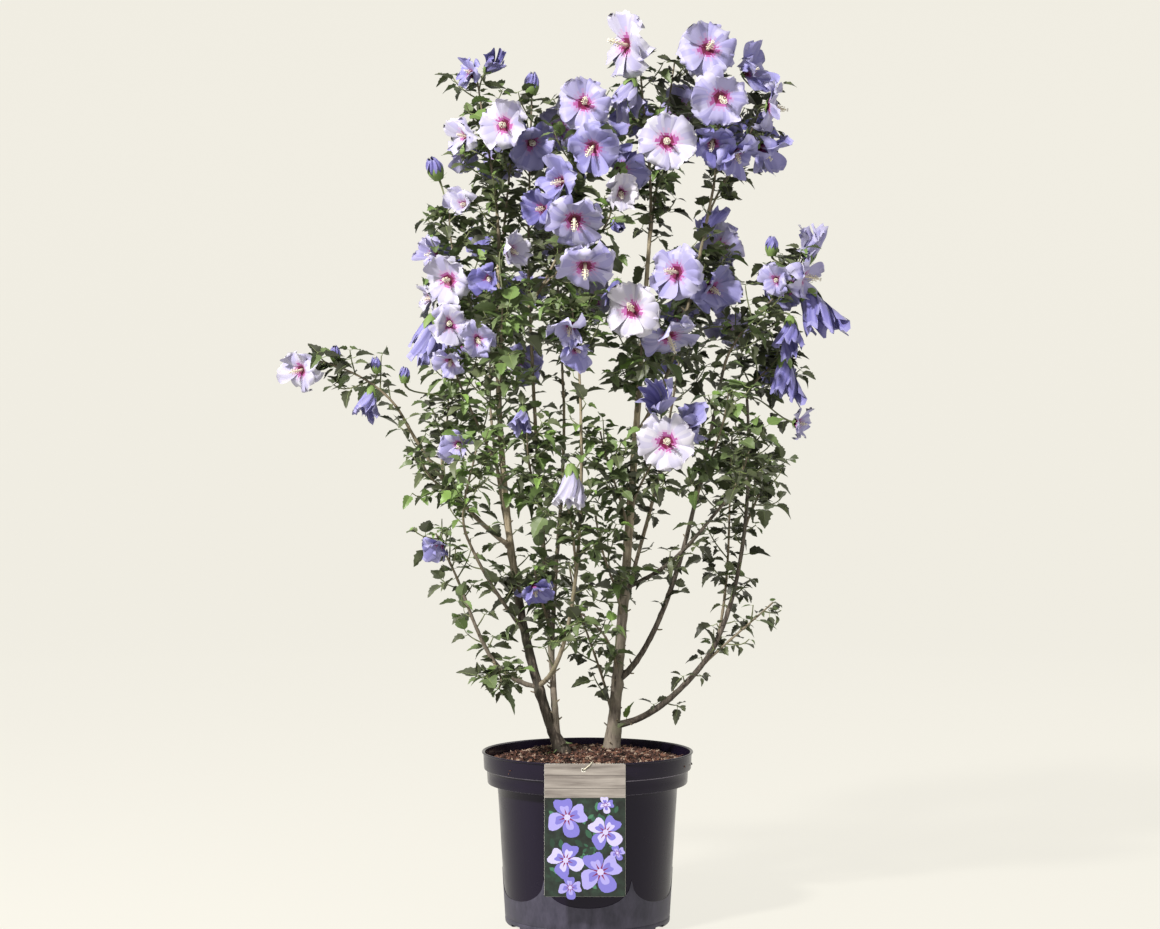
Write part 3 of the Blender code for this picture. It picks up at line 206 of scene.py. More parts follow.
# Name, limb, the share of the limb's length where it stands (1: it carries on from the tip), its
# tip, the direction of its tip, the length of its longest twig in centimetres, and its twigs
SPRAYS = tuple(Spray(*row) for row in (
    ("spray_far_left", "arm_left", 1.0, (-38.6, 79.6, -5.0), (-78, -8), 4.2, 5),
    ("spray_arm_high", "arm_left", 0.55, (-19.8, 74.5, 3.0), (-4, 4), 5.0, 6),
    ("spray_arm_low", "arm_left", 0.40, (-23.4, 64.8, -10.5), (-24, -12), 4.6, 5),
    ("spray_left_low", "bough_left_low", 1.0, (-21.6, 55.0, -7.5), (-26, -6), 5.0, 6),
    ("tuft_left_low", "bough_left_low", 0.40, (-12.6, 33.0, -8.5), (-150, -30), 3.0, 2),
    ("spray_left_mid", "bough_left_mid", 1.0, (-15.6, 68.3, -11.5), (8, -4), 5.4, 8),
    ("spray_left_edge_low", "trunk_left", 0.62, (-20.0, 82.5, -7.0), (-10, -8), 6.0, 8),
    ("spray_left_edge", "trunk_left", 0.80, (-19.6, 100.5, -4.0), (4, -4), 6.2, 9),
    ("spray_left_top", "trunk_left", 1.0, (-15.6, 119.0, 0.0), (-8, -4), 6.2, 7),
    ("spray_left_crest", "trunk_left", 0.93, (-10.4, 112.0, 6.5), (6, 6), 5.0, 5),
    ("spray_left_face", "trunk_left", 0.70, (-12.0, 89.0, -12.5), (4, -8), 6.0, 8),
    ("spray_second_top", "stem_left_second", 1.0, (-7.9, 116.5, 4.0), (2, -4), 6.0, 7),
    ("spray_second_low", "stem_left_second", 0.50, (-8.6, 69.5, -9.0), (2, -8), 6.0, 8),
    ("tuft_middle_low", "stem_left_second", 0.26, (-7.6, 50.5, -6.0), (-4, -10), 3.0, 2),
    ("spray_rear_top", "stem_left_rear", 1.0, (-4.8, 99.0, 16.5), (-4, 6), 6.6, 8),
    ("spray_pale_top", "stem_pale", 1.0, (-2.2, 87.0, -11.0), (-2, -6), 5.4, 7),
    ("spray_pale_low", "stem_pale", 0.50, (-3.6, 63.5, -15.0), (-8, -10), 5.4, 7),
    ("spray_centre_top", "bough_centre_high", 1.0, (-0.6, 116.5, -5.0), (4, 2), 6.0, 7),
    ("spray_centre_side", "bough_centre_high", 0.60, (3.4, 101.0, -9.0), (14, -6), 5.6, 6),
    ("spray_right_crest", "trunk_right", 1.0, (7.4, 123.5, 1.0), (-2, -4), 5.8, 6),
    ("tuft_crown", "trunk_right", 0.96, (12.4, 122.0, 8.0), (8, 4), 5.2, 6),
    ("spray_right_face", "trunk_right", 0.66, (8.0, 86.5, -9.5), (4, -10), 6.0, 8),
    ("spray_right_low", "trunk_right", 0.48, (10.6, 70.0, -11.0), (10, -8), 5.6, 7),
    ("spray_inner_face", "trunk_right", 0.44, (1.8, 69.5, -5.5), (-10, -6), 5.4, 8),
    ("spray_crown_right", "bough_top_right", 1.0, (18.8, 121.0, -1.0), (4, -2), 5.6, 6),
    ("spray_crown_edge", "bough_top_right", 0.90, (25.0, 117.5, 4.0), (10, 2), 5.2, 5),
    ("spray_crown_low", "bough_top_right", 0.55, (17.0, 93.0, 8.0), (6, 8), 6.0, 8),
    ("spray_right_out", "bough_right_mid", 1.0, (30.6, 94.0, -1.0), (26, 4), 6.0, 9),
    ("spray_right_mid", "bough_right_mid", 0.62, (20.0, 75.0, -11.5), (6, -6), 5.8, 8),
    ("spray_right_side", "bough_right_rise", 1.0, (27.5, 81.0, 6.0), (14, 6), 5.6, 8),
    ("spray_right_edge", "bough_right_rise", 0.62, (26.0, 66.0, 7.0), (4, 6), 5.0, 7),
    ("twig_right_low", "bough_right_rise", 0.06, (26.4, 45.2, 2.0), (48, 2), 3.2, 4),
    ("spray_right_twin", "bough_right_rise", 0.28, (20.6, 69.0, 12.0), (4, 4), 5.4, 6),
    ("spray_right_cross", "bough_right_cross", 1.0, (23.6, 68.5, -9.5), (18, -4), 5.4, 7),
    ("spray_inner_low", "trunk_right", 0.285, (1.2, 57.5, -7.0), (-4, -6), 5.0, 6),
    ("spray_inner_back", "trunk_right", 0.09, (-2.6, 51.0, 12.5), (-6, 8), 5.0, 6),
    ("tuft_inner", "trunk_right", 0.19, (-1.2, 43.8, -6.5), (-54, -14), 3.4, 3),
    ("spray_back_left", "bough_back_left", 1.0, (-13.0, 92.0, 18.0), (4, 4), 6.6, 8),
    ("spray_back_right", "bough_back_right", 1.0, (15.0, 93.0, 20.0), (6, 4), 6.6, 8),
))

# Flowers by spray. Kind, place, width in centimetres, and where it faces: degrees round from the
# front towards the right, and degrees above level; then its tint, which is partly painted light:
# pale and white for sunlit flowers, blue and violet for shaded ones
FLOWERS = {
    "spray_far_left": (
        ("open", -40.9, 78.2, -6.0, 6.9, -40, -12, "pale"),
        ("bud", -35.9, 80.6, -5.0, 2.0, 0, 60, "violet"),
        ("bud", -30.1, 79.0, -4.0, 2.0, -20, 70, "violet"),
        ("furled", -31.2, 73.4, -5.0, 3.8, -30, -70, "blue"),
    ),
    "spray_arm_high": (
        ("half", -18.4, 67.4, -8.5, 5.7, -10, -25, "lilac"),
        ("bud", -26.0, 77.6, -1.0, 2.0, 0, 80, "violet"),
    ),
    "spray_left_low": (("half", -21.2, 52.9, -9.5, 5.4, -30, -50, "blue"),),
    "spray_left_edge_low": (
        ("furled", -22.8, 82.6, -6.0, 5.2, -40, -72, "blue"),
        ("half", -19.6, 84.8, -9.5, 6.8, 5, -5, "pale"),
        ("half", -15.6, 82.4, -11.5, 5.9, 10, -20, "lilac"),
        ("half", -19.6, 79.2, -10.5, 5.4, -20, -40, "lilac"),
    ),
    "spray_left_edge": (
        ("half", -22.3, 94.7, -4.0, 6.4, -60, 0, "lilac"),
        ("open", -19.8, 91.0, -9.0, 7.4, -15, -8, "pale"),
        ("half", -22.8, 88.4, -3.0, 5.9, -75, -10, "pale"),
        ("half", -17.7, 101.8, -6.0, 5.9, -20, 5, "pale"),
        ("bud", -21.8, 107.0, -3.0, 3.0, -30, 50, "violet"),
        ("half", -20.5, 93.5, 3.5, 6.4, -150, 0, "blue"),
    ),
    "spray_left_top": (
        ("half", -16.9, 120.6, -1.0, 5.4, -40, 10, "blue"),
        ("furled", -13.4, 121.8, 0.5, 3.6, 30, 20, "violet"),
        ("half", -17.9, 111.5, -3.5, 6.1, -55, 0, "pale"),
        ("open", -11.9, 113.0, -7.0, 7.8, -15, -8, "pale"),
        ("half", -17.5, 109.5, 5.0, 7.1, -160, 5, "lilac"),
    ),
    "spray_left_crest": (
        ("half", -12.5, 107.5, 11.0, 7.6, 185, 5, "lilac"),
    ),
    "spray_left_face": (
        ("half", -10.7, 95.2, -12.5, 7.2, 48, -14, "pale"),
        ("half", -14.1, 91.2, -15.0, 5.9, -10, -15, "violet"),
    ),
    "spray_second_top": (
        ("half", -7.8, 110.4, -0.5, 8.0, 15, -20, "blue"),
        ("bud", -7.9, 119.0, 4.0, 2.8, 10, 75, "violet"),
        ("half", -6.8, 101.2, -1.5, 7.1, -35, 0, "violet"),
        ("open", -4.0, 112.5, 9.0, 7.6, 170, 5, "lilac"),
    ),
    "spray_second_low": (("furled", -9.3, 71.0, -11.5, 3.4, 0, -50, "blue"),),
    "tuft_middle_low": (("half", -7.4, 46.8, -6.5, 6.4, 30, -50, "violet"),),
    "spray_rear_top": (
        ("open", -4.2, 97.0, 21.5, 8.0, 175, -5, "lilac"),
        ("half", -9.0, 90.0, 20.0, 7.6, 205, -15, "blue"),
        ("open", 0.8, 88.0, 20.5, 7.8, 160, -10, "pale"),
        ("half", -3.0, 105.0, 17.5, 7.3, 190, 20, "blue"),
    ),
    "spray_pale_top": (
        ("half", -2.6, 84.0, -14.5, 6.8, -24, -58, "lilac"),
        ("half", -1.4, 81.0, -13.0, 5.7, 30, -30, "blue"),
    ),
    "spray_pale_low": (("furled", -2.3, 61.4, -17.0, 4.7, 10, -78, "pale"),),
    "spray_centre_top": (
        ("open", -0.5, 116.2, -7.0, 7.8, 0, 6, "lilac"),
        ("open", 0.6, 109.8, -10.0, 8.0, -22, -28, "blue"),
        ("half", -4.4, 105.0, -10.0, 7.8, -50, -5, "blue"),
        ("open", -1.9, 99.4, -12.0, 8.8, 5, -40, "lilac"),
        ("half", 0.6, 110.5, 1.0, 7.8, 165, 0, "blue"),
    ),
    "spray_centre_side": (
        ("open", -0.4, 92.8, -17.0, 8.4, 0, -50, "lilac"),
        ("half", 5.2, 107.0, -3.0, 7.8, 150, 15, "blue"),
        ("half", 4.8, 103.2, -11.5, 7.3, 10, -22, "white"),
        ("bud", 4.3, 98.8, -9.0, 2.6, 20, -30, "violet"),
    ),
    "spray_right_crest": (
        ("open", 5.2, 124.5, -2.0, 9.8, -58, 4, "pale"),
        ("furled", 5.6, 117.0, -3.0, 5.4, -20, -50, "lilac"),
        ("open", 11.3, 110.7, -9.0, 8.6, 0, 0, "pale"),
        ("half", 6.5, 114.0, 6.5, 8.0, 185, 5, "blue"),
    ),
    "tuft_crown": (
        ("half", 14.4, 122.2, 4.5, 5.9, 10, 15, "pale"),
        ("open", 13.5, 115.0, 12.5, 8.0, 170, 5, "lilac"),
    ),
    "spray_right_face": (
        ("open", 6.3, 86.8, -13.5, 8.2, -20, 12, "white"),
        ("open", 11.6, 82.8, -9.5, 8.8, 42, -54, "lilac"),
        ("open", 12.4, 92.2, -9.5, 8.6, -32, 4, "lilac"),
        ("furled", 4.2, 89.4, -9.5, 3.8, 0, -40, "violet"),
    ),
    "spray_right_low": (
        ("furled", 9.9, 74.0, -13.0, 5.6, -10, 25, "blue"),
        ("open", 11.2, 68.0, -15.0, 8.6, -4, 2, "white"),
        ("half", 14.4, 69.8, -11.5, 7.8, 110, 0, "blue"),
    ),
    "spray_crown_right": (
        ("open", 17.2, 124.0, -4.0, 8.4, 8, 8, "lilac"),
        ("open", 19.0, 116.9, -8.0, 8.8, 5, -20, "lilac"),
        ("half", 17.6, 110.2, -6.5, 7.6, -14, -42, "violet"),
        ("half", 21.2, 108.6, -5.5, 7.8, 24, -56, "blue"),
        ("half", 18.5, 112.5, 5.5, 8.0, 180, 10, "blue"),
    ),
    "spray_crown_edge": (
        ("half", 23.4, 121.0, 0.0, 7.8, 45, 10, "blue"),
        ("open", 26.2, 115.6, -1.5, 8.0, 80, -6, "lilac"),
        ("half", 25.4, 109.0, -1.5, 8.3, 75, -45, "blue"),
        ("half", 24.0, 112.0, 8.5, 7.6, 150, -5, "violet"),
    ),
    "spray_crown_low": (
        ("half", 18.1, 89.6, -1.5, 8.0, 40, -20, "blue"),
        ("open", 19.0, 95.5, 13.0, 7.8, 150, 0, "lilac"),
        ("half", 13.0, 86.0, 11.5, 7.1, 190, -20, "blue"),
    ),
    "spray_right_out": (
        ("furled", 31.9, 96.2, 0.0, 4.5, 20, 60, "lilac"),
        ("open", 30.8, 91.6, -3.5, 8.2, 75, -12, "lilac"),
        ("half", 26.7, 91.0, -5.0, 5.4, -20, -10, "lilac"),
        ("furled", 32.6, 86.6, -1.5, 6.5, 40, -55, "violet"),
        ("furled", 28.9, 83.0, -4.0, 4.3, 0, -70, "violet"),
        ("bud", 26.2, 95.9, -1.0, 2.4, 0, 80, "violet"),
        ("open", 28.5, 90.0, 4.5, 7.6, 165, -5, "blue"),
    ),
    "spray_right_side": (
        ("furled", 28.2, 77.0, 1.0, 5.2, 10, -75, "violet"),
        ("half", 30.4, 70.6, 5.0, 5.7, 70, -10, "lilac"),
        ("half", 27.0, 78.0, 10.5, 7.3, 165, -5, "blue"),
    ),
    "spray_back_left": (
        ("open", -14.5, 88.5, 22.5, 8.0, 195, -5, "lilac"),
        ("half", -18.0, 82.0, 19.0, 7.3, 230, -10, "blue"),
        ("half", -9.5, 79.5, 21.0, 7.8, 170, -25, "blue"),
        ("furled", -15.0, 95.5, 18.5, 4.9, 200, 40, "violet"),
    ),
    "spray_back_right": (
        ("open", 15.5, 90.0, 24.5, 8.4, 170, 0, "pale"),
        ("half", 20.5, 84.0, 21.5, 7.8, 130, -10, "lilac"),
        ("open", 10.5, 81.0, 22.5, 8.0, 190, -20, "blue"),
        ("furled", 17.5, 98.0, 20.5, 5.2, 160, 45, "violet"),
    ),
}


# Heights in metres below which a limb carries no spurs
SPUR_FROM = {
    "trunk_left": 0.44, "trunk_right": 0.44, "stem_left_second": 0.37, "stem_left_rear": 0.40,
    "stem_pale": 0.36, "bough_left_low": 0.31, "bough_left_mid": 0.36, "arm_left": 0.52,
    "bough_right_low": 0.29, "bough_right_rise": 0.33, "bough_right_mid": 0.42,
    "bough_right_cross": 0.46, "bough_back_left": 0.48, "bough_back_right": 0.48,
}
SPUR_FROM_OTHERS = 0.47
# Spurs and leaves are sparse below this height, let the trunks show below the next, and the
# blossom of the crown stands above the last
SPARSE_BELOW = 0.50
CLEAR_BELOW = 0.80
CROWN_ABOVE = 1.04
# How a spur's tuft looks: shades darker (painted shade, for the low tufts at the right), how many leaves,
# their sizes, and how they droop
SPUR_TUFTS = {
    "dense": (0, (3, 4, 5), (0.032, 0.050), 0.5),
    "low": (1, (2, 3, 3), (0.026, 0.042), 0.3),
    "high": (0, (3, 3, 4), (0.028, 0.048), 1.0),
}
# How full of leaves some sprays are, whatever their height
BARE_SPRAYS = {"tuft_left_low": 0.9, "twig_right_low": 0.35, "tuft_middle_low": 0.9}
# Pairs of young leaves straight from the bark: the limb, how far along it, and degrees round
BASAL_LEAVES = (("trunk_left", 0.085, -70), ("trunk_right", 0.03, -20), ("bough_right_low", 0.10, 20))
# How far a leaf may pass the source's own box
EDGE = 4 * MM
# How far a leaf and a twig may reach into the space of another spray
LEAF_SLACK = 20 * MM
TWIG_SLACK = 10 * MM

# Leaf colours from the darkest to the brightest; leaves take them partly as painted light and shade, by
# where they stand
GREENS = ("#313426", "#434835", "#525a3e", "#586742", "#617842", "#6f8c46")
# A leaf's half outline as shares of its length, from its foot to its tip: across and along
LEAF_OUTLINES = (
    ((0.05, 0.01), (0.22, 0.03), (0.34, 0.14), (0.42, 0.30), (0.33, 0.36), (0.34, 0.50),
     (0.25, 0.56), (0.26, 0.68), (0.16, 0.74), (0.12, 0.88)),
    ((0.04, 0.01), (0.16, 0.05), (0.25, 0.17), (0.30, 0.31), (0.24, 0.38), (0.28, 0.50),
     (0.20, 0.57), (0.21, 0.68), (0.13, 0.76), (0.09, 0.89)),
    ((0.06, 0.02), (0.26, 0.02), (0.40, 0.13), (0.50, 0.30), (0.37, 0.35), (0.32, 0.46),
     (0.36, 0.56), (0.24, 0.63), (0.22, 0.76), (0.11, 0.86)),
)
# Half a leaf's faces: corners 0 to 6 run along its rib, and 7 to 16 along its outline
LEAF_FACES = (
    (0, 7, 8), (0, 8, 1), (1, 8, 9), (1, 9, 2), (2, 9, 10), (2, 10, 11), (2, 11, 12, 3), (3, 12, 13),
    (3, 13, 14, 4), (4, 14, 15), (4, 15, 16, 5), (5, 16, 6),
)
# For each template: outline, how far the sides rise, how far it arches, its wave, a twist
LEAF_FORMS = (
    (0, 0.32, 0.22, 0.030, 0.10),
    (1, 0.46, 0.44, 0.026, 0.24),
    (2, 0.26, 0.34, 0.050, -0.20),
    (1, 0.60, 0.62, 0.034, 0.34),
    (1, 0.28, 0.12, 0.036, -0.30),
    (0, 0.50, 0.52, 0.050, 0.22),
)
LEAF_PICKS = (0, 1, 2, 3, 5, 0, 2, 4)
PETIOLE = 0.22

# How wide the scar of an old leaf is
LEAF_SCAR = 1.2 * MM
# Barks: dark and light where the bark is old, its moss, and three tones where it is young
TAN = ("#4c453a", "#827763", "#aa9f8a")
STRAW = ("#776b58", "#b5a78d", "#d4c9b1")
BARKS = {
    "bark_grey": ("#403a35", "#7a7167", "#6b6957", STRAW),
    "bark_old": ("#241f1c", "#463e38", "#44463a", STRAW),
    "bark_stem": ("#403a35", "#746b61", "#6b6957", TAN),
    "bark_pale": ("#5a5245", "#857b69", "#6f6a52", TAN),
    "bark_brown": ("#2b2624", "#524a44", "#4c4b41", ("#332d29", "#575049", "#827a70")),
}
LIMB_BARKS = {"trunk_left": "bark_old", "trunk_right": "bark_grey", "stem_pale": "bark_pale"}

# Petal tints, each with its blush round the eye, blade, rim and veins. The tints are partly
# painted light: pale and white for sunlit flowers, blue and violet for shaded ones
# The rim tone is paler than the blade: a painted highlight on the rims and along a fold
TINTS = {
    "white": ("#b09cb8", "#b2afbe", "#bbb8c4", "#a7a4ba"),
    "pale": ("#ae99b8", "#aaa7bf", "#b6b4c5", "#9d99ba"),
    "lilac": ("#9f8ab4", "#9b97bf", "#a9a6c6", "#8c88b6"),
    "blue": ("#887bac", "#8380b2", "#928fbc", "#7572a8"),
    "violet": ("#72659d", "#6c68a3", "#7c79ad", "#5e5b97"),
}
EYE = "#670c3c"
FLARE = "#974e8a"
PETALS = 5
PETAL_ROWS = 11
PETAL_COLUMNS = 12
# The stages whose petals stand open: half a petal's width and its height, for a flower one unit wide
OPENED = {"open": (0.300, 0.20), "half": (0.290, 0.40)}
# A calyx at each stage: the radius of its foot, the radius of its mouth, and its height
CALYX_SIZES = {
    "open": (0.050, 0.14, 0.050),
    "half": (0.055, 0.14, 0.120),
    "furled": (0.10, 0.24, 0.50),
    "bud": (0.24, 0.43, 0.82),
}
# Forms of petals for each stage
FORMS = 4


def place(across, height, depth):
    """A point in metres from its place in the front view, in centimetres."""
    spread = 1 + depth * CM / EYE_DISTANCE
    return Vector((
        across * CM * spread,
        depth * CM,
        EYE_HEIGHT + (height * CM - EYE_HEIGHT) * spread,
    ))


def leaning(lean, away):
    """A unit direction from its leans off upright, to the right and to the back, in degrees."""
    lean, away = radians(lean), radians(away)
    return Vector((sin(lean) * cos(away), sin(away), cos(lean) * cos(away)))


def facing(heading, tilt):
    """A unit direction from degrees round from the front to the right, and degrees above level."""
    heading, tilt = radians(heading), radians(tilt)
    return Vector((
        sin(heading) * cos(tilt),
        -cos(heading) * cos(tilt),
        sin(tilt),
    ))


def bent(foot, foot_way, tip, tip_way, grips, count):
    """Points along one smooth bend that leaves foot and reaches tip in the given directions."""
    span = (tip - foot).length
    near = foot + foot_way * span * grips[0]
    far = tip - tip_way * span * grips[1]
    return interpolate_bezier(foot, near, far, tip, count)


def along(line, share):
    """The point at this share of a line's points, and the direction there."""
    spot = min(share, 0.9999) * (len(line) - 1)
    step = int(spot)
    way = (line[step + 1] - line[step]).normalized()
    return line[step].lerp(line[step + 1], spot - step), way


def at_height(line, height):
    """The first point of a rising line at this height."""
    for low, high in zip(line, line[1:]):
        if low.z <= height <= high.z:
            return low.lerp(high, (height - low.z) / (high.z - low.z))
    raise ValueError(f"no point at height {height}")


def square_to(way, turn):
    """A unit direction square to another, turned about it."""
    side = way.orthogonal().normalized()
    return side * cos(turn) + way.cross(side).normalized() * sin(turn)


def length_of(line):
    """How long a line is."""
    return sum((b - a).length for a, b in zip(line, line[1:]))


def limb_lines():
    """The source's line of each limb, and a finer one with its radii, for the bark."""
    coarse, fine = {}, {}
    for limb in LIMBS:
        tip = place(*limb.tip)
        ways = [leaning(lean, away) for lean, away in zip(limb.leans, limb.aways)]
        count = LIMB_POINTS
        if not limb.parent:
            across, depth = STANDS[limb.name]
            foot = place(across, 0, depth)
            foot.z = SOIL_TOP - FLARE_HEIGHT
            foot -= ways[0] * FLARE_HEIGHT
            count = TRUNK_POINTS
        elif limb.rises is None:
            foot, ways[0] = along(coarse[limb.parent], 1)
        else:
            foot = at_height(coarse[limb.parent], limb.rises * CM)
        line = bent(foot, ways[0], tip, ways[1], limb.grips, count)
        if limb.parent and limb.rises is None:
            line.insert(1, foot + ways[0] * SQUARE_START)
        coarse[limb.name] = line
        steps = max(12, round(length_of(line) / (3 * MM)))
        line = bent(foot, ways[0], tip, ways[1], limb.grips, steps)
        thick, thin = (radius * MM for radius in limb.radii)
        radii = [thick + (thin - thick) * (step / (steps - 1)) ** TAPER for step in range(steps)]
        if not limb.parent:
            for step, spot in enumerate(line):
                rise = max(0, spot.z - SOIL_TOP) / FLARE_HEIGHT
                radii[step] *= 1 + TRUNK_FLARE * exp(-rise)
        fine[limb.name] = (line, radii)
    return coarse, fine


def stem_of(spray, coarse, fine):
    """A spray's stem and its radii."""
    line = coarse[spray.limb]
    foot, way = along(line, spray.share)
    tip, aim = place(*spray.tip), leaning(*spray.aim)
    radii = fine[spray.limb][1]
    if spray.share == 1:
        thick = radii[-1]
    else:
        way = (way + SIDE_STEM_LEAN * (tip - foot).normalized()).normalized()
        thick = min(SIDE_STEM_RADIUS, radii[int(spray.share * (len(radii) - 1))] * 0.8)
    count = max(16, round(length_of(bent(foot, way, tip, aim, (0.33, 0.33), 9)) / (6 * MM)))
    stem = bent(foot, way, tip, aim, (0.33, 0.33), count)
    thin = 1.15 * MM
    widths = [thick + (thin - thick) * (step / (count - 1)) ** 0.8 for step in range(count)]
    return stem, widths


def flowers_of(spray):
    """The flowers of a spray, from its rows in the table."""
    return [Flower(*row) for row in FLOWERS.get(spray.name, ())]


def flower_back(flower):
    """Where a flower leaves its stalk."""
    centre = place(flower.across, flower.height, flower.depth)
    length = flower.width * CM * FLOWER_LENGTH[flower.kind]
    return centre - facing(flower.heading, flower.tilt) * length / 2


def knotted(line, thick, thin, knot):
    """Radii from foot to tip, with a swelling at every second point."""
    last = len(line) - 1
    return [(thick + (thin - thick) * n / last) * (1 if n % 2 else knot) for n in range(last + 1)]


class Blooms:
    """The space that each flower needs, so that no leaf or twig grows through it or hides it."""

    def __init__(self, flowers):
        self.back = np.array([flower_back(flower) for flower in flowers])
        self.way = np.array([facing(flower.heading, flower.tilt) for flower in flowers])
        self.width = np.array([flower.width * CM for flower in flowers])
        self.length = self.width * [FLOWER_LENGTH[flower.kind] for flower in flowers]
        self.wide = np.array([flower.kind in OPENED for flower in flowers])

    def touched(self, spots):
        """Whether any point is within a flower or just before it."""
        spots = np.array(spots)
        away = spots[:, None] - self.back[None]
        rise = (away * self.way[None]).sum(axis=2)
        out = np.linalg.norm(away - rise[..., None] * self.way[None], axis=2)
        share = np.clip(rise / self.length, 0, 1)
        reach = np.where(self.wide, self.width * (0.10 + 0.40 * share ** 0.6), self.width * 0.40)
        front = self.length + np.where(self.wide, self.width * 0.55, 0.004)
        reach = np.where(rise > self.length, self.width * 0.36, reach + 0.002)
        return bool(((rise > -0.002) & (rise < front) & (out < reach)).any())


class Room:
    """Tells whether a point is in a spray's own space: nearer to its stem than to any other."""

    def __init__(self, lines):
        self.lines = lines
        spots = [(spot, name) for name, line in lines.items() for spot in line]
        self.names = [name for _, name in spots]
        self.tree = KDTree(len(spots))
        for number, (spot, _) in enumerate(spots):
            self.tree.insert(spot, number)
        self.tree.balance()

    def holds(self, name, spot, slack):
        """Whether a point is in this spray's space, give or take the slack."""
        _, number, other = self.tree.find(spot)
        if self.names[number] == name:
            return True
        own = min((spot - point).length for point in self.lines[name])
        return own < other + slack


class Plan:
    """All that grows: stems, twigs, stalks, leaves and flowers, from one fixed seed a spray."""

    def __init__(self, foliage):
        self.foliage = foliage
        self.coarse, self.limbs = limb_lines()
        self.stems = {spray.name: stem_of(spray, self.coarse, self.limbs) for spray in SPRAYS}
        self.flowers = [flower for spray in SPRAYS for flower in flowers_of(spray)]
        self.blooms = Blooms(self.flowers)
        self.room = Room({name: stem[0] for name, stem in self.stems.items()})
        self.twigs = []
        self.leaves = []
        for spray in SPRAYS:
            self.grow(spray)
        for limb in LIMBS:
            self.spur(limb)
        dice = random.Random("basal")
        for limb, share, turn in BASAL_LEAVES:
            line = self.limbs[limb][0]
            foot, way = along(line, share)
            out = facing(turn, 20)
            foot = foot + out * self.limbs[limb][1][int(share * len(line))]
            way = (out + way).normalized()
            for spin, size, darker, droops in ((0.5, 0.036, 1, 0.4), (2.4, 0.028, 2, 0.6)):
                self.leaf(None, foot, way, spin, dice, size, len(GREENS) - darker, droops)

    def free(self, spots):
        """Whether points lie inside the source's own box and clear of the flowers."""
        low, high = CAD_BOX
        for spot in spots:
            if any(spot[way] < low[way] - EDGE or spot[way] > high[way] + EDGE for way in range(3)):
                return False
        return not self.blooms.touched(spots)

    def leaf(self, name, foot, way, turn, dice, size, tint, droops=1.0):
        """One leaf, unless it would leave its spray's space or cross a flower."""
        droop = dice.uniform(-0.35, 0.62) * droops
        roll = dice.uniform(-0.6, 0.6)
        kind = dice.choice(LEAF_PICKS)
        heading = way * 0.35 + square_to(way, turn)
        heading.z *= 0.6
        heading = (heading.normalized() - UP * droop).normalized()
        side = heading.cross(UP)
        side = side.normalized() if side.length > 0.1 else heading.orthogonal().normalized()
        side = side * cos(roll) + heading.cross(side) * sin(roll)
        face = side.cross(heading)
        tip, middle = foot + heading * size, foot + heading * size * 0.55
        spots = (tip, middle, middle + side * size * 0.38, middle - side * size * 0.38)
        if not self.free(spots):
            return
        if name and not all(self.room.holds(name, spot, LEAF_SLACK) for spot in (tip, middle)):
            return
        shade = tint + dice.choice((-2, -1, -1, 0, 0, 0, 1))
        shade = min(max(shade, 0), len(GREENS) - 1)
        self.leaves.append(Leaf(foot, side, heading, face, size, kind, shade, name))

    def tuft(self, name, foot, way, turn, dice, tint, count, sizes, droops=1.0):
        """A bunch of leaves from one bud, the first the largest."""
        lush = self.lush(name, foot)
        for number in range(count):
            if dice.random() > lush:
                continue
            size = dice.uniform(*sizes) * (1 if number == 0 else dice.uniform(0.5, 0.85))
            size *= 0.60 + 0.40 * lush
            self.leaf(name, foot, way, turn + number * 2.2, dice, size, tint, droops)

    def lush(self, name, foot):
        """How full of leaves a place is: sparser low down and at the left."""
        if name is None:
            return 0.80 if SPARSE_BELOW < foot.z < CLEAR_BELOW else 0.95
        if name in BARE_SPRAYS:
            return BARE_SPRAYS[name]
        full = min(1, max(0.55, 0.55 + (foot.z - 0.44) / 0.40 * 0.45))
        if foot.z > CROWN_ABOVE:
            full = 0.84
        return full * 0.80 if foot.x < -0.12 and foot.z < 0.82 else full

    def level(self, spot, dice):
        """How bright a green a spray's leaves have: painted light, brighter to the left and the front,
        and painted shade, darker to the right and the back, with a random share.
        """
        bright = 2.35 - spot.x / 0.30 * 0.5 - spot.y / 0.16 * 0.5 + dice.uniform(-0.9, 0.9)
        return min(max(round(bright), 0), len(GREENS) - 2)

    def grow(self, spray):
        """A spray: its stem, the leaves and side twigs along it, and its flowers."""
        dice = random.Random(spray.name)
        stem, widths = self.stems[spray.name]
        sizes = (self.foliage.smallest_leaf, self.foliage.largest_leaf)
        self.twigs.append((stem, [w * (1.18 if n % 4 == 2 else 1) for n, w in enumerate(widths)], 0))
        # The spray's green is painted light and shade, by where it stands, with a random share
        tint = self.level(stem[len(stem) // 2], dice)
        turn = dice.uniform(0, 2 * pi)
        steps = max(3, round(length_of(stem) / self.foliage.node_step))
        first = 0.16 if spray.share < 1 else 0.04
        for number in range(steps + 1):
            share = first + (1 - first) * number / steps
            spot, way = along(stem, share)
            turn += TURN
            self.tuft(spray.name, spot, way, turn, dice, tint, dice.choice((2, 3, 3, 4)), sizes)
        self.tuft(spray.name, stem[-1], along(stem, 1)[1], turn + 1, dice, tint + 1, 4,
                  (sizes[0] * 0.8, sizes[1] * 0.7))
        count = round(spray.twigs * self.foliage.twig_share)
        for number in range(count):
            share = 0.12 + 0.83 * (number + 0.5) / count
            turn += TURN
            self.twig(spray, stem, share, turn, dice, tint, sizes)
        for flower in flowers_of(spray):
            self.stalk(flower, stem, dice, tint, spray.name)

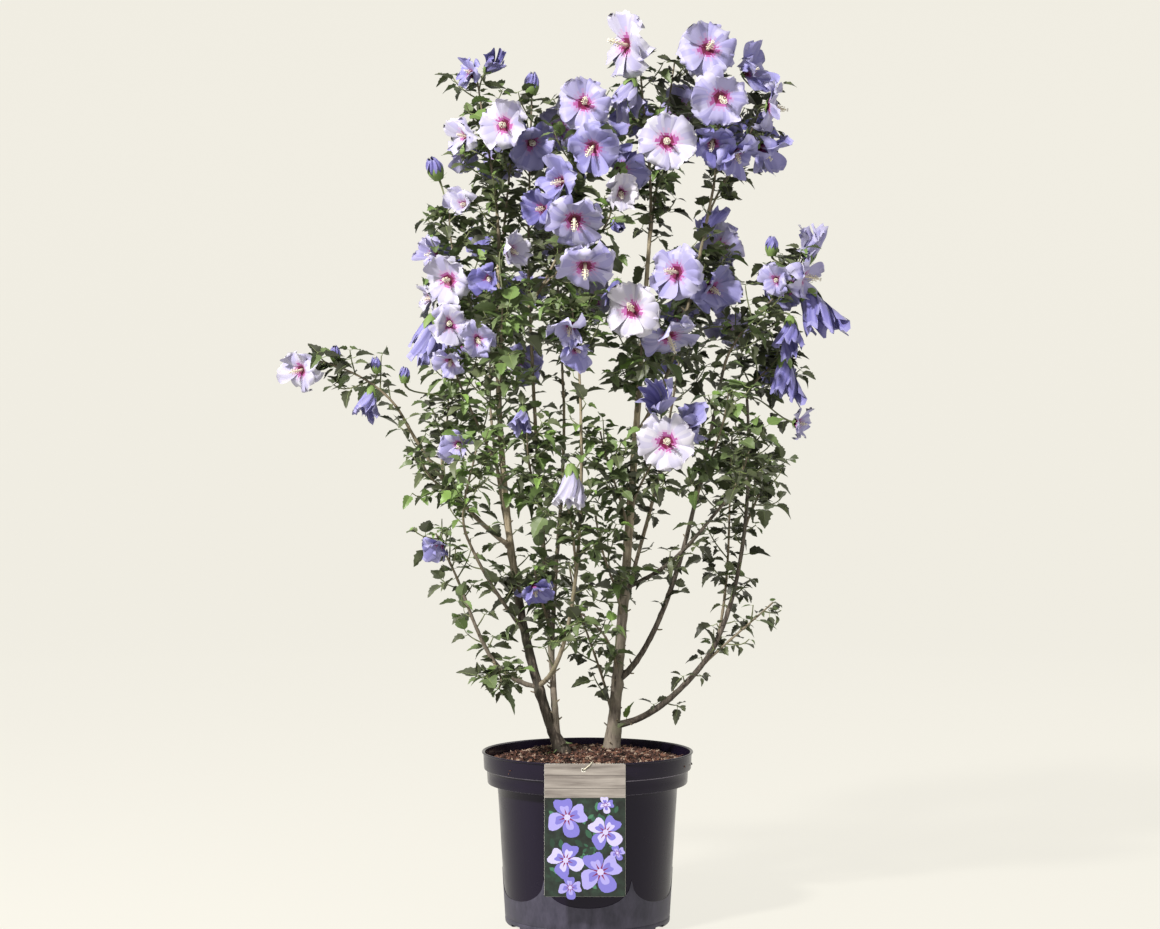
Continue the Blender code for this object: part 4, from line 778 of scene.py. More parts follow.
    def twig(self, spray, stem, share, turn, dice, tint, sizes):
        """A side twig that bends upwards, with leaves at each node and a tuft at its tip."""
        root, way = along(stem, share)
        length = spray.reach * CM * (1.25 - 0.45 * share) * dice.uniform(0.75, 1.15)
        for shorter, swing in ((1, 0), (1, 0.9), (1, -0.9), (0.65, 0), (0.65, 1.2), (0.4, 0)):
            side = square_to(way, turn + swing)
            out = (way * 0.55 + side * 0.85).normalized()
            end = root + (out + UP * 0.30).normalized() * length * shorter
            if self.free([root.lerp(end, 0.5), end]) and self.room.holds(spray.name, end, TWIG_SLACK):
                break
        else:
            return
        length *= shorter
        rise = (out * 0.6 + UP * 0.8).normalized()
        count = max(4, round(length / (8 * MM)) + 1)
        line = bent(root, out, end, rise, (0.35, 0.35), count)
        self.twigs.append((line, knotted(line, 1.05 * MM, 0.65 * MM, 1.3), 1))
        nodes = max(1, round(length / 0.012))
        spin = dice.uniform(0, 6)
        for number in range(nodes):
            spot, way = along(line, 0.30 + 0.60 * number / nodes)
            spin += TURN
            self.tuft(spray.name, spot, way, spin, dice, tint, dice.choice((1, 2, 3)), sizes)
        self.tuft(spray.name, line[-1], rise, spin + 1, dice, tint + 1, 3, sizes)

    def stalk(self, flower, stem, dice, tint, name):
        """A flower's stalk, from the stem to its calyx, and the leaves along it."""
        back = flower_back(flower)
        root, way = min(
            (along(stem, share / 20) for share in range(1, 20)),
            key=lambda spot: (back - spot[0]).length + max(0, spot[0].z - back.z + 0.02),
        )
        ahead = facing(flower.heading, flower.tilt)
        start = (way * 0.6 + (back - root).normalized()).normalized()
        line = bent(root, start, back + ahead * 1 * MM, ahead, (0.3, 0.3), 10)
        widths = [1.15 * MM] * 7 + [1.3 * MM, 1.7 * MM, 2.1 * MM]
        self.twigs.append((line, widths, 1))
        for share in (0.35, 0.6, 0.8):
            spot, way = along(line, share)
            self.leaf(name, spot, way, dice.uniform(0, 6.28), dice, dice.uniform(0.020, 0.032), tint)

    def spur(self, limb):
        """Short leafy spurs along a limb, and bare pegs where it shows its bark."""
        dice = random.Random(limb.name)
        line = self.limbs[limb.name][0]
        radii = self.limbs[limb.name][1]
        long = length_of(line)
        at, turn = self.foliage.spur_step * 0.7, dice.uniform(0, 6)
        while at < long:
            share = at / long
            spot, way = along(line, share)
            turn += TURN + dice.uniform(-0.4, 0.4)
            low = spot.z < SPARSE_BELOW
            dense = low and spot.x < 0.06
            at += self.foliage.spur_step * dice.uniform(0.6, 1.4) * (0.62 if dense else 0.8)
            bare = SPUR_FROM.get(limb.name, SPUR_FROM_OTHERS)
            width = radii[int(share * (len(radii) - 1))]
            side = square_to(way, turn)
            out = (way * 0.5 + side).normalized()
            shown = SPARSE_BELOW < spot.z < CLEAR_BELOW and out.y < -0.35
            hides = limb.name.startswith("trunk") and shown
            if spot.z < bare or hides or dice.random() < 0.10:
                if at > 0.04 and dice.random() < 0.6:
                    peg = bent(spot, out, spot + out * (width + dice.uniform(0.003, 0.009)),
                               (out + UP * 0.4).normalized(), (0.3, 0.3), 4)
                    self.twigs.append((peg, knotted(peg, 1.5 * MM, 0.8 * MM, 1.15), 0))
                continue
            length = width + dice.uniform(0.006, 0.034 if dense else 0.018)
            end = spot + (out + UP * 0.15).normalized() * length
            if not self.free([end]):
                continue
            spur = bent(spot, out, end, (out + UP * 0.5).normalized(), (0.3, 0.3), 5)
            self.twigs.append((spur, knotted(spur, 1.1 * MM, 0.7 * MM, 1.2), 1))
            # Each spur's green is painted light and shade, by where its tuft stands
            tint = self.level(end, dice)
            # Low tufts at the right are a shade darker still: painted shade
            darker, counts, sizes, droops = SPUR_TUFTS["dense" if dense else "low" if low else "high"]
            self.tuft(None, end, out, turn, dice, tint - darker, dice.choice(counts), sizes, droops)


PLANS = {}


def plan():
    """The plan of this run, made once and shared by all the pieces."""
    if "plan" not in PLANS:
        PLANS["plan"] = Plan(bpy.context.scene.rose_foliage)
    return PLANS["plan"]


def linear(colour):
    """A colour's linear parts; a web colour's are worked out."""
    if not isinstance(colour, str):
        return tuple(colour[:3])
    parts = [int(colour[at:at + 2], 16) / 255 for at in (1, 3, 5)]
    return tuple(
        part / 12.92 if part <= 0.04045 else ((part + 0.055) / 1.055) ** 2.4 for part in parts
    )


def added(tree, kind, inputs=None, **settings):
    """A new node of a tree, with its settings, and its inputs set or linked."""
    node = tree.nodes.new(kind)
    for name, value in settings.items():
        setattr(node, name, value)
    for name, value in (inputs or {}).items():
        if isinstance(value, bpy.types.NodeSocket):
            tree.links.new(value, node.inputs[name])
        else:
            node.inputs[name].default_value = value
    return node


def plain(name, colour, roughness=0.5, specular=0.5, sheen=0.0):
    """A surface of one colour, for pieces whose colours are dealt out face by face."""
    made = bpy.data.materials.new(name)
    made.use_nodes = True
    shader = made.node_tree.nodes["Principled BSDF"]
    shader.inputs["Base Color"].default_value = (*linear(colour), 1)
    shader.inputs["Roughness"].default_value = roughness
    shader.inputs["Specular IOR Level"].default_value = specular
    shader.inputs["Sheen Weight"].default_value = sheen
    return made


class Surface:
    """A procedural material, and the few nodes that its recipes use."""

    def __init__(self, name, roughness=0.6, specular=0.5):
        self.material = plain(name, (0.5, 0.5, 0.5), roughness, specular)
        self.tree = self.material.node_tree
        self.shader = self.tree.nodes["Principled BSDF"]
        self.coords = added(self.tree, "ShaderNodeTexCoord").outputs["Object"]

    def stretched(self, scale):
        """Object coordinates, drawn out by a scale along each axis."""
        made = added(self.tree, "ShaderNodeMapping", {"Scale": scale, "Vector": self.coords})
        return made.outputs["Vector"]

    def noise(self, scale, detail=4, rough=0.55, vector=None):
        made = added(self.tree, "ShaderNodeTexNoise", {
            "Scale": scale, "Detail": detail, "Roughness": rough, "Vector": vector or self.coords})
        return made.outputs["Fac"]

    def cells(self, scale, vector=None):
        made = added(self.tree, "ShaderNodeTexVoronoi", {
            "Scale": scale, "Vector": vector or self.coords})
        return made.outputs["Distance"]

    def height(self):
        return added(self.tree, "ShaderNodeSeparateXYZ", {"Vector": self.coords}).outputs["Z"]

    def ramp(self, factor, *stops):
        """Colours along a factor; each stop is a place and a colour."""
        made = added(self.tree, "ShaderNodeValToRGB", {"Fac": factor})
        while len(made.color_ramp.elements) < len(stops):
            made.color_ramp.elements.new(0.5)
        for element, (where, colour) in zip(made.color_ramp.elements, stops):
            element.position = where
            element.color = (*linear(colour), 1)
        return made.outputs["Color"]

    def mixed(self, factor, first, second):
        """A colour mixed with another, which may be a web colour."""
        if isinstance(second, str):
            second = (*linear(second), 1)
        made = added(self.tree, "ShaderNodeMix", {0: factor, 6: first, 7: second}, data_type="RGBA")
        return made.outputs[2]

    def spread(self, value, low, high, first, second):
        """A value stretched from one range to another."""
        made = added(self.tree, "ShaderNodeMapRange", {
            "Value": value, "From Min": low, "From Max": high, "To Min": first, "To Max": second})
        return made.outputs["Result"]

    def shows(self, colour, roughness=None):
        """Gives the shader its colour, and its roughness where that varies."""
        self.tree.links.new(colour, self.shader.inputs["Base Color"])
        if roughness:
            self.tree.links.new(roughness, self.shader.inputs["Roughness"])

    def bump(self, height, strength, distance):
        made = added(self.tree, "ShaderNodeBump", {
            "Strength": strength, "Distance": distance, "Height": height})
        self.tree.links.new(made.outputs["Normal"], self.shader.inputs["Normal"])


def circle(radius, height, count):
    """Points round the upright axis, at a height."""
    angles = (2 * pi * number / count for number in range(count))
    return [(radius * cos(angle), radius * sin(angle), height) for angle in angles]


class Shell:
    """Gathers the corners and faces of a mesh, and a zone number for each face."""

    def __init__(self):
        self.corners, self.faces, self.zones = [], [], []

    def add(self, corners, faces, zone=0):
        first = len(self.corners)
        self.corners += [tuple(corner) for corner in corners]
        self.faces += [tuple(first + corner for corner in face) for face in faces]
        self.zones += [zone] * len(faces)

    def grid(self, rows, zone=0, closed=False, ends=False):
        """A sheet through rows of points, which may close on itself and have its ends filled."""
        width = len(rows[0])
        first = len(self.corners)
        self.corners += [tuple(point) for row in rows for point in row]
        last = width if closed else width - 1
        for row in range(len(rows) - 1):
            for column in range(last):
                after = (column + 1) % width
                low, high = first + row * width, first + (row + 1) * width
                self.faces.append((low + column, low + after, high + after, high + column))
                self.zones.append(zone(row, column) if callable(zone) else zone)
        if ends:
            for start, turned in ((0, -1), (len(rows) - 1, 1)):
                edge = range(first + start * width, first + (start + 1) * width)
                self.faces.append(tuple(edge)[::turned])
                self.zones.append(zone(max(start - 1, 0), 0) if callable(zone) else zone)

    def mesh(self, name, smooth=True):
        made = bpy.data.meshes.new(name)
        made.from_pydata(self.corners, [], self.faces)
        made.polygons.foreach_set("use_smooth", [smooth] * len(self.faces))
        marks = made.attributes.new("zone", "INT", "FACE")
        marks.data.foreach_set("value", self.zones)
        made.update()
        return made

    def solid(self, name, smooth=True):
        """A closed mesh, its faces turned outwards."""
        made = self.mesh(name, smooth)
        outward(made)
        return made


def stored(name, mesh, surfaces=()):
    """A mesh as an object of the scene, with its materials."""
    made = bpy.data.objects.new(name, mesh)
    bpy.context.scene.collection.objects.link(made)
    for surface in surfaces:
        mesh.materials.append(surface)
    return made


def finished(piece, finish, *nodes):
    """Parents a finished piece to the root body, and hides the nodes that it stands for; the finish is
    not used.
    """
    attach(piece, "root")
    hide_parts(*nodes)


def zoned(mesh, count):
    """Each face takes the material of its zone number."""
    zones = np.zeros(len(mesh.polygons), np.int32)
    mesh.attributes["zone"].data.foreach_get("value", zones)
    mesh.polygons.foreach_set("material_index", np.clip(zones, 0, count - 1))


def outward(mesh):
    """Turns a closed mesh's faces outwards."""
    shape = bmesh.new()
    shape.from_mesh(mesh)
    bmesh.ops.recalc_face_normals(shape, faces=shape.faces)
    if shape.calc_volume(signed=True) < 0:
        bmesh.ops.reverse_faces(shape, faces=shape.faces)
    shape.to_mesh(mesh)
    shape.free()


def evaluated(piece):
    """Swaps an object's mesh for the one its modifiers make, and removes them."""
    bpy.context.view_layer.update()
    graph = bpy.context.evaluated_depsgraph_get()
    mesh = bpy.data.meshes.new_from_object(piece.evaluated_get(graph))
    piece.modifiers.clear()
    old, piece.data = piece.data, mesh
    mesh.name = old.name + "_mesh"
    bpy.data.meshes.remove(old)
    for name in ("turn", "size", "kind", "thick", "tint", "zone"):
        if name in mesh.attributes:
            mesh.attributes.remove(mesh.attributes[name])


def cut(piece, cutter):
    """Cuts a closed mesh out of a piece."""
    step = piece.modifiers.new("cut", "BOOLEAN")
    step.operation = "DIFFERENCE"
    step.solver = "EXACT"
    step.object = cutter
    evaluated(piece)
    bpy.data.objects.remove(cutter)


def box_shape(low, high):
    """The corners and faces of a box between two opposite corners."""
    corners = [Vector((x, y, z)) for z in (low[2], high[2]) for y in (low[1], high[1])
               for x in (low[0], high[0])]
    faces = ((0, 2, 3, 1), (4, 5, 7, 6), (0, 1, 5, 4), (2, 6, 7, 3), (0, 4, 6, 2), (1, 3, 7, 5))
    return corners, faces


def carried(line, radii, sides, relief):
    """Rings of points along a line, without a twist; relief swells a ring's points."""
    rows = []
    side = (line[1] - line[0]).orthogonal()
    gone = 0.0
    for step, (spot, radius) in enumerate(zip(line, radii)):
        before, after = line[max(step - 1, 0)], line[min(step + 1, len(line) - 1)]
        way = (after - before).normalized()
        side = (side - way * side.dot(way)).normalized()
        across = way.cross(side)
        if step:
            gone += (spot - line[step - 1]).length
        row = []
        for number in range(sides):
            angle = 2 * pi * number / sides
            out = side * cos(angle) + across * sin(angle)
            row.append(spot + out * (radius + relief(gone, angle, out, radius)))
        rows.append(row)
    return rows


def live(sockets, name=None):
    """The socket that is in use, of several that share a place or a name."""
    return next(one for one in sockets if one.enabled and name in (None, one.name))


def tree(name, **inputs):
    """A node tree, its start and its end; each named input has its kind of socket and a default."""
    made = bpy.data.node_groups.new(name, "GeometryNodeTree")
    for way in ("INPUT", "OUTPUT"):
        made.interface.new_socket("Geometry", in_out=way, socket_type="NodeSocketGeometry")
    for title, (kind, default) in inputs.items():
        socket = made.interface.new_socket(
            title.capitalize(), in_out="INPUT", socket_type="NodeSocket" + kind)
        if default is not None:
            socket.default_value = default
    return made, added(made, "NodeGroupInput").outputs, added(made, "NodeGroupOutput").inputs


def marked(made, name, kind="INT"):
    """The number that each point or face has under a name."""
    node = added(made, "GeometryNodeInputNamedAttribute", {"Name": name}, data_type=kind)
    return live(node.outputs)


def closed(made, end, geometry, rules):
    """Makes all real and ends a tree with its materials: each has the marks of its faces."""
    geometry = added(made, "GeometryNodeRealizeInstances", {"Geometry": geometry}).outputs["Geometry"]
    for surface, marks in rules:
        inputs = {"Material": surface, "Geometry": geometry}
        for name, value in marks.items():
            test = added(made, "FunctionNodeCompare", {2: marked(made, name), 3: value},
                         data_type="INT", operation="EQUAL")
            if "Selection" in inputs:
                test = added(made, "FunctionNodeBooleanMath",
                             {0: inputs["Selection"], 1: test.outputs[0]}, operation="AND")
            inputs["Selection"] = test.outputs[0]
        geometry = added(made, "GeometryNodeSetMaterial", inputs).outputs["Geometry"]
    made.links.new(geometry, end["Geometry"])
    return made


def product(made, first, second):
    """Two numbers multiplied."""
    return added(made, "ShaderNodeMath", {0: first, 1: second}, operation="MULTIPLY").outputs["Value"]


def instanced(made, start, points, kind, turn, size):
    """Sets one of the templates at every point, with its own turn and size."""
    forms = added(made, "GeometryNodeCollectionInfo", {
        "Collection": start["Templates"], "Separate Children": True, "Reset Children": True})
    turned = added(made, "FunctionNodeEulerToRotation", {"Euler": turn})
    return added(made, "GeometryNodeInstanceOnPoints", {
        "Points": points, "Instance": forms.outputs["Instances"], "Pick Instance": True,
        "Instance Index": kind, "Rotation": turned.outputs["Rotation"],
        "Scale": product(made, size, start["Size"]),
    }).outputs["Instances"]


def scatter_tree(name, rules):
    """Sets a template at every point, turned and sized by the point's own marks."""
    made, start, end = tree(name, templates=("Collection", None), size=("Float", 1.0))
    put = instanced(made, start, start["Geometry"], marked(made, "kind"),
                    marked(made, "turn", "FLOAT_VECTOR"), marked(made, "size", "FLOAT"))
    return closed(made, end, put, rules)


def grown(piece, rule, templates=(), **values):
    """Runs a node tree on a piece; its templates are in the file only while it runs."""
    home = bpy.data.collections.new(piece.name + "_templates")
    for number, template in enumerate(templates):
        home.objects.link(bpy.data.objects.new(f"{piece.name}_template_{number:02d}", template))
    values["templates"] = home
    step = piece.modifiers.new("grown", "NODES")
    step.node_group = rule
    for item in rule.interface.items_tree:
        key = item.name.lower()
        if item.in_out == "INPUT" and key in values:
            step[item.identifier] = values[key]
    evaluated(piece)
    for template in list(home.objects):
        bpy.data.objects.remove(template)
    bpy.data.collections.remove(home)
    return piece


def scattered(name, spots, templates, rules):
    """One piece from templates set at spots; a spot is its place, turn, size, kind and tint."""
    mesh = bpy.data.meshes.new(name)
    mesh.from_pydata([spot[0] for spot in spots], [], [])
    marks = (("turn", "FLOAT_VECTOR"), ("size", "FLOAT"), ("kind", "INT"), ("tint", "INT"))
    for column, (mark, kind) in enumerate(marks, 1):
        layer = mesh.attributes.new(mark, kind, "POINT")
        layer.data.foreach_set("vector" if column == 1 else "value",
                               np.array([spot[column] for spot in spots]).ravel())
    return grown(stored(name, mesh), scatter_tree(name + "_scatter", rules), templates, size=1.0)


def turned_to(side, heading, face):
    """The turn, as XYZ angles, that brings a template's axes to these directions."""
    return tuple(Matrix((side, heading, face)).transposed().to_euler("XYZ"))


def leaf_template(outline, rise, arch, wave, twist):
    """A lobed, toothed leaf on its stalk: along +Y from its foot, its face up, one unit long."""
    shell = Shell()
    blade = 1 - PETIOLE

    def lifted(x, y):
        z = rise * abs(x) - arch * y * y * 0.6
        z += wave * sin(9 * y + 3) * min(1, abs(x) * 4) + twist * x * y
        return (x * blade * 0.90, PETIOLE + y * blade * (1 - 0.20 * arch), z * blade)

    half = LEAF_OUTLINES[outline]
    rib = (0.0, 0.16, 0.34, 0.52, 0.70, 0.86)
    spine = 0.012
    for hand in (1, -1):
        middle = [lifted(hand * spine * (1 - y), y) for y in rib] + [lifted(0, 1.0)]
        rim = [lifted(hand * x, y) for x, y in half]
        shell.add(middle + rim, [face[::hand] for face in LEAF_FACES])
    rows = []
    for y in rib:
        x, forward, z = lifted(spine * (1 - y), y)
        rows.append([(-x, forward, z), (0, forward, z + 0.006), (x, forward, z)])
    shell.grid(rows, 1)
    thick = 0.014
    stalk = []
    for share in (0.0, 0.5, 1.0):
        y = PETIOLE * share
        z = -0.02 * sin(pi * share)
        stalk.append([
            (thick * cos(angle), y, z + thick * sin(angle))
            for angle in (pi / 2, pi * 7 / 6, pi * 11 / 6)
        ])
    shell.grid(stalk, 1, closed=True)
    return shell.mesh("leaf_form")


def hashed(*numbers):
    """A fixed number from 0 to 1 for a set of whole numbers."""
    weights = (12.9898, 78.233, 37.719)
    value = sin(sum(number * weight for number, weight in zip(numbers, weights)))
    return (value * 43758.5453) % 1


def petal_zone(number, seed):
    """Where the eye, its flare, the blush, the veins and the rim lie on a petal; the rim's paler tone, a
    painted highlight, also runs along a fold, and a darker band lies four columns from it.
    """
    def zone(row, column):
        share = (row + 0.5) / PETAL_ROWS
        middle = 1 - abs((column + 0.5) / PETAL_COLUMNS * 2 - 1)
        chance = hashed(number, column, seed)
        eye = 0.07 + 0.10 * middle ** 0.7 + 0.02 * (column % 2)
        if share < eye:
            return 0
        if share < eye + 0.04 + 0.12 * middle * (0.3 + chance):
            return 1
        if share < eye + 0.12 + 0.18 * middle * chance + 0.06 * (column % 2):
            return 2
        # A band along a fold takes the rim's paler tone: a painted highlight
        fold = hashed(number, seed, 7) * PETAL_COLUMNS
        if row >= PETAL_ROWS - 1 or (share > 0.45 and abs(column - fold) < 1.8 * share):
            return 4
        if share < 0.88 and (hashed(column, seed, number + 3) < 0.30 or abs(column - fold - 4) < 1.0):
            return 5
        return 3
    return zone


def open_petal(number, seed, spread, depth):
    """Rows of points over one ruffled petal of a flower one unit wide that faces +Z."""
    dice = random.Random(seed * 31 + number)
    turn = 2 * pi * (number + dice.uniform(-0.13, 0.13)) / PETALS
    long = dice.uniform(0.84, 1.03)
    lean = dice.uniform(-0.15, 0.13)
    cant = dice.uniform(0.03, 0.15)
    phases = [dice.uniform(0, 6.28) for _ in range(5)]
    flat = depth < 0.3
    back = dice.uniform(0.0, 0.14) if flat else dice.uniform(-0.05, 0.16)
    spread *= dice.uniform(0.88, 1.08)
    shut = dice.choice((0.86, 1.0, 1.0, 1.04)) if flat else dice.choice((0.50, 0.72, 0.92, 1.0, 1.04))
    fold = dice.uniform(-0.10, 0.16)
    curl = dice.uniform(-0.02, 0.16) if flat else dice.uniform(0.0, 0.24)
    rows = []
    for row in range(PETAL_ROWS + 1):
        u = row / PETAL_ROWS
        half = 0.045 + spread * sin(min(1, u / 0.78) * pi / 2) ** 1.25
        if u > 0.74:
            half *= sqrt(max(0.0, 1 - ((u - 0.74) / 0.30) ** 2))
        points = []
        for column in range(PETAL_COLUMNS + 1):
            v = column / PETAL_COLUMNS * 2 - 1
            out = 0.022 + (0.478 * long) * shut * u ** (1.0 if flat else 1.25)
            out -= 0.075 * v * v * u ** 3
            out += u ** 4 * (0.020 * sin(5 * v + phases[0]) + 0.016 * sin(13 * v + phases[1]))
            z = 0.02 + (depth - 0.02) * u ** (0.72 if flat else 0.80) - back * u ** 3
            z += (1 - shut) * 0.20 * u + cant * v * u * (1 - 0.25 * u)
            z += 0.060 * u * u * sin(3.6 * v + phases[2])
            z += (0.012 + 0.030 * abs(v)) * u ** 2 * sin(11 * v + 2.5 * u + phases[3])
            z += 0.020 * u ** 3 * sin(19 * v + phases[4])
            z += fold * v * v * u * u - lean * u * u - curl * max(0, u - 0.72) ** 1.5 * 5 * (0.5 + abs(v))
            side = half * v * (0.70 + 0.30 * shut)
            points.append((
                out * cos(turn) - side * sin(turn),
                out * sin(turn) + side * cos(turn),
                z,
            ))
        rows.append(points)
    return rows


def furled_petal(number, seed, closed):
    """One petal of a flower that has closed: wound round its axis, crumpled towards its rim."""
    dice = random.Random(seed * 17 + number)
    phases = [dice.uniform(0, 6.28) for _ in range(5)]
    long = dice.uniform(0.88, 1.0) if closed else dice.uniform(0.60, 1.04)
    length = FLOWER_LENGTH["bud" if closed else "furled"]
    loose = 0.15 if closed else 1.0
    flung = dice.uniform(-0.10, 0.26) * loose
    rows = []
    for row in range(PETAL_ROWS + 1):
        u = row / PETAL_ROWS
        girth = 0.055 + 0.235 * sin(pi * min(1, u * 0.70) ** 1.10) ** 0.85
        if closed:
            girth = 0.05 + 0.30 * sin(pi * min(1, u * 0.94)) ** 0.8
        points = []
        for column in range(PETAL_COLUMNS + 1):
            v = column / PETAL_COLUMNS * 2 - 1
            angle = 2 * pi * number / PETALS + v * 0.80 * (1 - 0.15 * u) + 1.3 * u
            radius = girth * (1 + 0.16 * v) * (1 + 0.12 * sin(7 * v + phases[0]) * u)
            radius += flung * u ** 4
            radius += 0.095 * u ** 3 * sin(5 * v + phases[1]) * loose
            radius += 0.030 * u ** 2 * sin(12 * v + 7 * u + phases[3]) * loose
            z = length * u * long * (1 - 0.13 * v * v * u)
            z += (0.03 + 0.06 * loose) * u ** 3 * sin(7 * v + phases[2])
            z += 0.030 * u ** 2 * sin(15 * v + phases[4]) * loose
            points.append((radius * cos(angle), radius * sin(angle), z))
        rows.append(points)
    return rows


def petals_template(kind, seed):
    """The five petals of a flower one unit wide, at one stage of its opening."""
    shell = Shell()
    for number in range(PETALS):
        if kind in OPENED:
            shell.grid(open_petal(number, seed, *OPENED[kind]), petal_zone(number, seed))
        else:
            shell.grid(furled_petal(number, seed, kind == "bud"), furled_zone)
    return shell.mesh("petal_form")


def furled_zone(row, column):
    """Where the rim and the veins lie on the petal of a closed flower; the rim's paler tone is a painted
    highlight.
    """
    if column in (0, PETAL_COLUMNS - 1) or row >= PETAL_ROWS - 1:
        return 4
    return 5 if column % 5 in (1, 2) else 3


def calyx_template(kind):
    """Five green sepals joined in a cup, and the slim bracts below them."""
    shell = Shell()
    foot, wide, tall = CALYX_SIZES[kind]
    unit = 2.0 if kind == "bud" else 1.0
    for number in range(5):
        turn = 2 * pi * number / 5
        rows = []
        for row in range(6):
            u = row / 5
            half = radians(36) * (1.05 if u < 0.45 else 1.05 * (1 - (u - 0.45) / 0.58))
            radius = foot + (wide - foot) * sin(min(1, u * 1.2) * pi / 2)
            if kind == "bud":
                radius -= 0.16 * max(0, u - 0.5) ** 1.2 * 2
            points = []
            for v in (-1, -0.5, 0, 0.5, 1):
                reach = radius * (1 + 0.03 * (1 - v * v))
                angle = turn + v * half
                points.append((reach * cos(angle), reach * sin(angle), -0.01 + tall * u))
            rows.append(points)
        shell.grid(rows, 0)
    for number in range(7):
        turn = 2 * pi * (number + 0.3) / 7
        rows = []
        for row in range(5):
            u = row / 4
            reach = foot * 0.9 + 0.13 * unit * u
            z = -0.015 + (0.012 + 0.045 * unit) * u ** 0.7
            half = 0.012 * unit * (1 - u * 0.8)
            rows.append([
                (reach * cos(turn) - sin(turn) * half * v,
                 reach * sin(turn) + cos(turn) * half * v, z + 0.006 * (1 - abs(v)))
                for v in (-1, 0, 1)
            ])
        shell.grid(rows, 1)
    return shell.mesh("calyx_form")


def column_template(kind, seed):
    """The column of stamens, its anthers and the five tips above them."""
    shell = Shell()
    dice = random.Random(seed)
    tall = 0.34 if kind == "open" else 0.30
    rows = []
    for row in range(6):
        u = row / 5
        radius = 0.030 - 0.014 * u
        lean = 0.03 * u * u
        rows.append([
            (lean + radius * cos(angle), radius * sin(angle), 0.03 + tall * u)
            for angle in (2 * pi * number / 8 for number in range(8))
        ])
    shell.grid(rows, 0, closed=True, ends=True)
    for number in range(26):
        u = 0.42 + 0.5 * number / 26
        turn = TURN * number
        reach = 0.044 * (1 - 0.35 * u) + dice.uniform(0.008, 0.018)
        centre = Vector((0.03 * u * u + reach * cos(turn), reach * sin(turn), 0.03 + tall * u))
        knob(shell, centre, dice.uniform(0.0105, 0.0145), 0)
    for number in range(5):
        turn = 2 * pi * number / 5
        centre = Vector((0.03 + 0.022 * cos(turn), 0.022 * sin(turn), 0.035 + tall * 1.06))
        knob(shell, centre, 0.014, 1)
    return shell.mesh("column_form")


def knob(shell, centre, radius, zone):
    """A small rounded grain."""
    corners = [centre + Vector(way) * radius for way in (
        (1, 0, 0), (0, 1, 0), (-1, 0, 0), (0, -1, 0), (0, 0, 1.25), (0, 0, -1.25))]
    faces = [(0, 1, 4), (1, 2, 4), (2, 3, 4), (3, 0, 4), (1, 0, 5), (2, 1, 5), (3, 2, 5), (0, 3, 5)]
    shell.add(corners, faces, zone)


def tinted(name, tones, roughness, specular):
    """Materials by tint: the first is for every face, and each later one for its own mark."""
    return [(plain(f"{name}_{n}", tone, roughness, specular), {"tint": n} if n else {})
            for n, tone in enumerate(tones)]


def make_leaves(settings):
    """All the leaves, as three pieces, each from the same few leaf forms."""
    rules = tinted("leaf_green", GREENS, settings.leaf_roughness, 0.45)
    rules.append((plain("leaf_rib", "#76864f", 0.55), {"zone": 1}))
    templates = [leaf_template(*form) for form in LEAF_FORMS]
    names = [spray.name for spray in SPRAYS]
    share = len(names) / 3
    groups = {name: min(int(n / share), 2) for n, name in enumerate(names)}
    for number, title in enumerate(("leaves_left", "leaves_middle", "leaves_right")):
        spots = [
            (leaf.foot, turned_to(leaf.side, leaf.heading, leaf.face), leaf.size, leaf.kind, leaf.tint)
            for leaf in plan().leaves
            if groups.get(leaf.spray, 0 if leaf.foot.x < -0.02 else 2) == number
        ]
        piece = scattered(title, spots, templates, rules)
        finished(piece, "foliage", *[name for name in names if groups[name] == number])
    for template in templates:
        bpy.data.meshes.remove(template)


def make_blossom(settings):
    """Petals, calyces and stamens, each kind joined, from a few forms of each stage of a flower."""
    stages, names = list(FLOWER_LENGTH), list(TINTS)
    petals, calyces, columns = [], [], []
    dice = random.Random("blossom")
    for flower in plan().flowers:
        way = facing(flower.heading, flower.tilt)
        side = square_to(way, dice.uniform(0, 6.28))
        pick = dice.randrange(FORMS)
        stage = stages.index(flower.kind)
        put = (flower_back(flower), turned_to(side, way.cross(side), way), flower.width * CM)
        petals.append((*put, stage * FORMS + pick, names.index(flower.tint)))
        calyces.append((*put, stage, 0))
        if flower.kind in OPENED:
            columns.append((*put, stage, 0))
    soft = dict(roughness=0.55, specular=0.3, sheen=settings.petal_sheen)
    rules = []
    for number, name in enumerate(names):
        # Zone 4 is the rim's paler tone, a painted highlight
        for zone, tone in zip((2, 3, 4, 5), TINTS[name]):
            surface = plain(f"petal_{name}_{zone}", tone, **soft)
            rules.append((surface, {"tint": number, "zone": zone} if rules else {}))
    rules.append((plain("petal_flare", FLARE, **soft), {"zone": 1}))
    rules.append((plain("petal_eye", EYE, **soft), {"zone": 0}))
    green, bract = plain("calyx_green", "#6d8449", 0.6), plain("bract_green", "#5a703e", 0.6)
    cream, tips = plain("stamen_cream", "#d2cab4", 0.6), plain("stigma_cream", "#dcd8cd", 0.5)
    for title, spots, templates, finishes in (
        ("petals", petals, [petals_template(kind, n + 1) for kind in stages for n in range(FORMS)],
         rules),
        ("calyces", calyces, [calyx_template(kind) for kind in stages],
         [(green, {}), (bract, {"zone": 1})]),
        ("stamens", columns, [column_template(kind, 5) for kind in OPENED],
         [(cream, {}), (tips, {"zone": 1})]),
    ):
        finished(scattered(title, spots, templates, finishes), "foliage", *FLOWERS)
        for template in templates:
            bpy.data.meshes.remove(template)


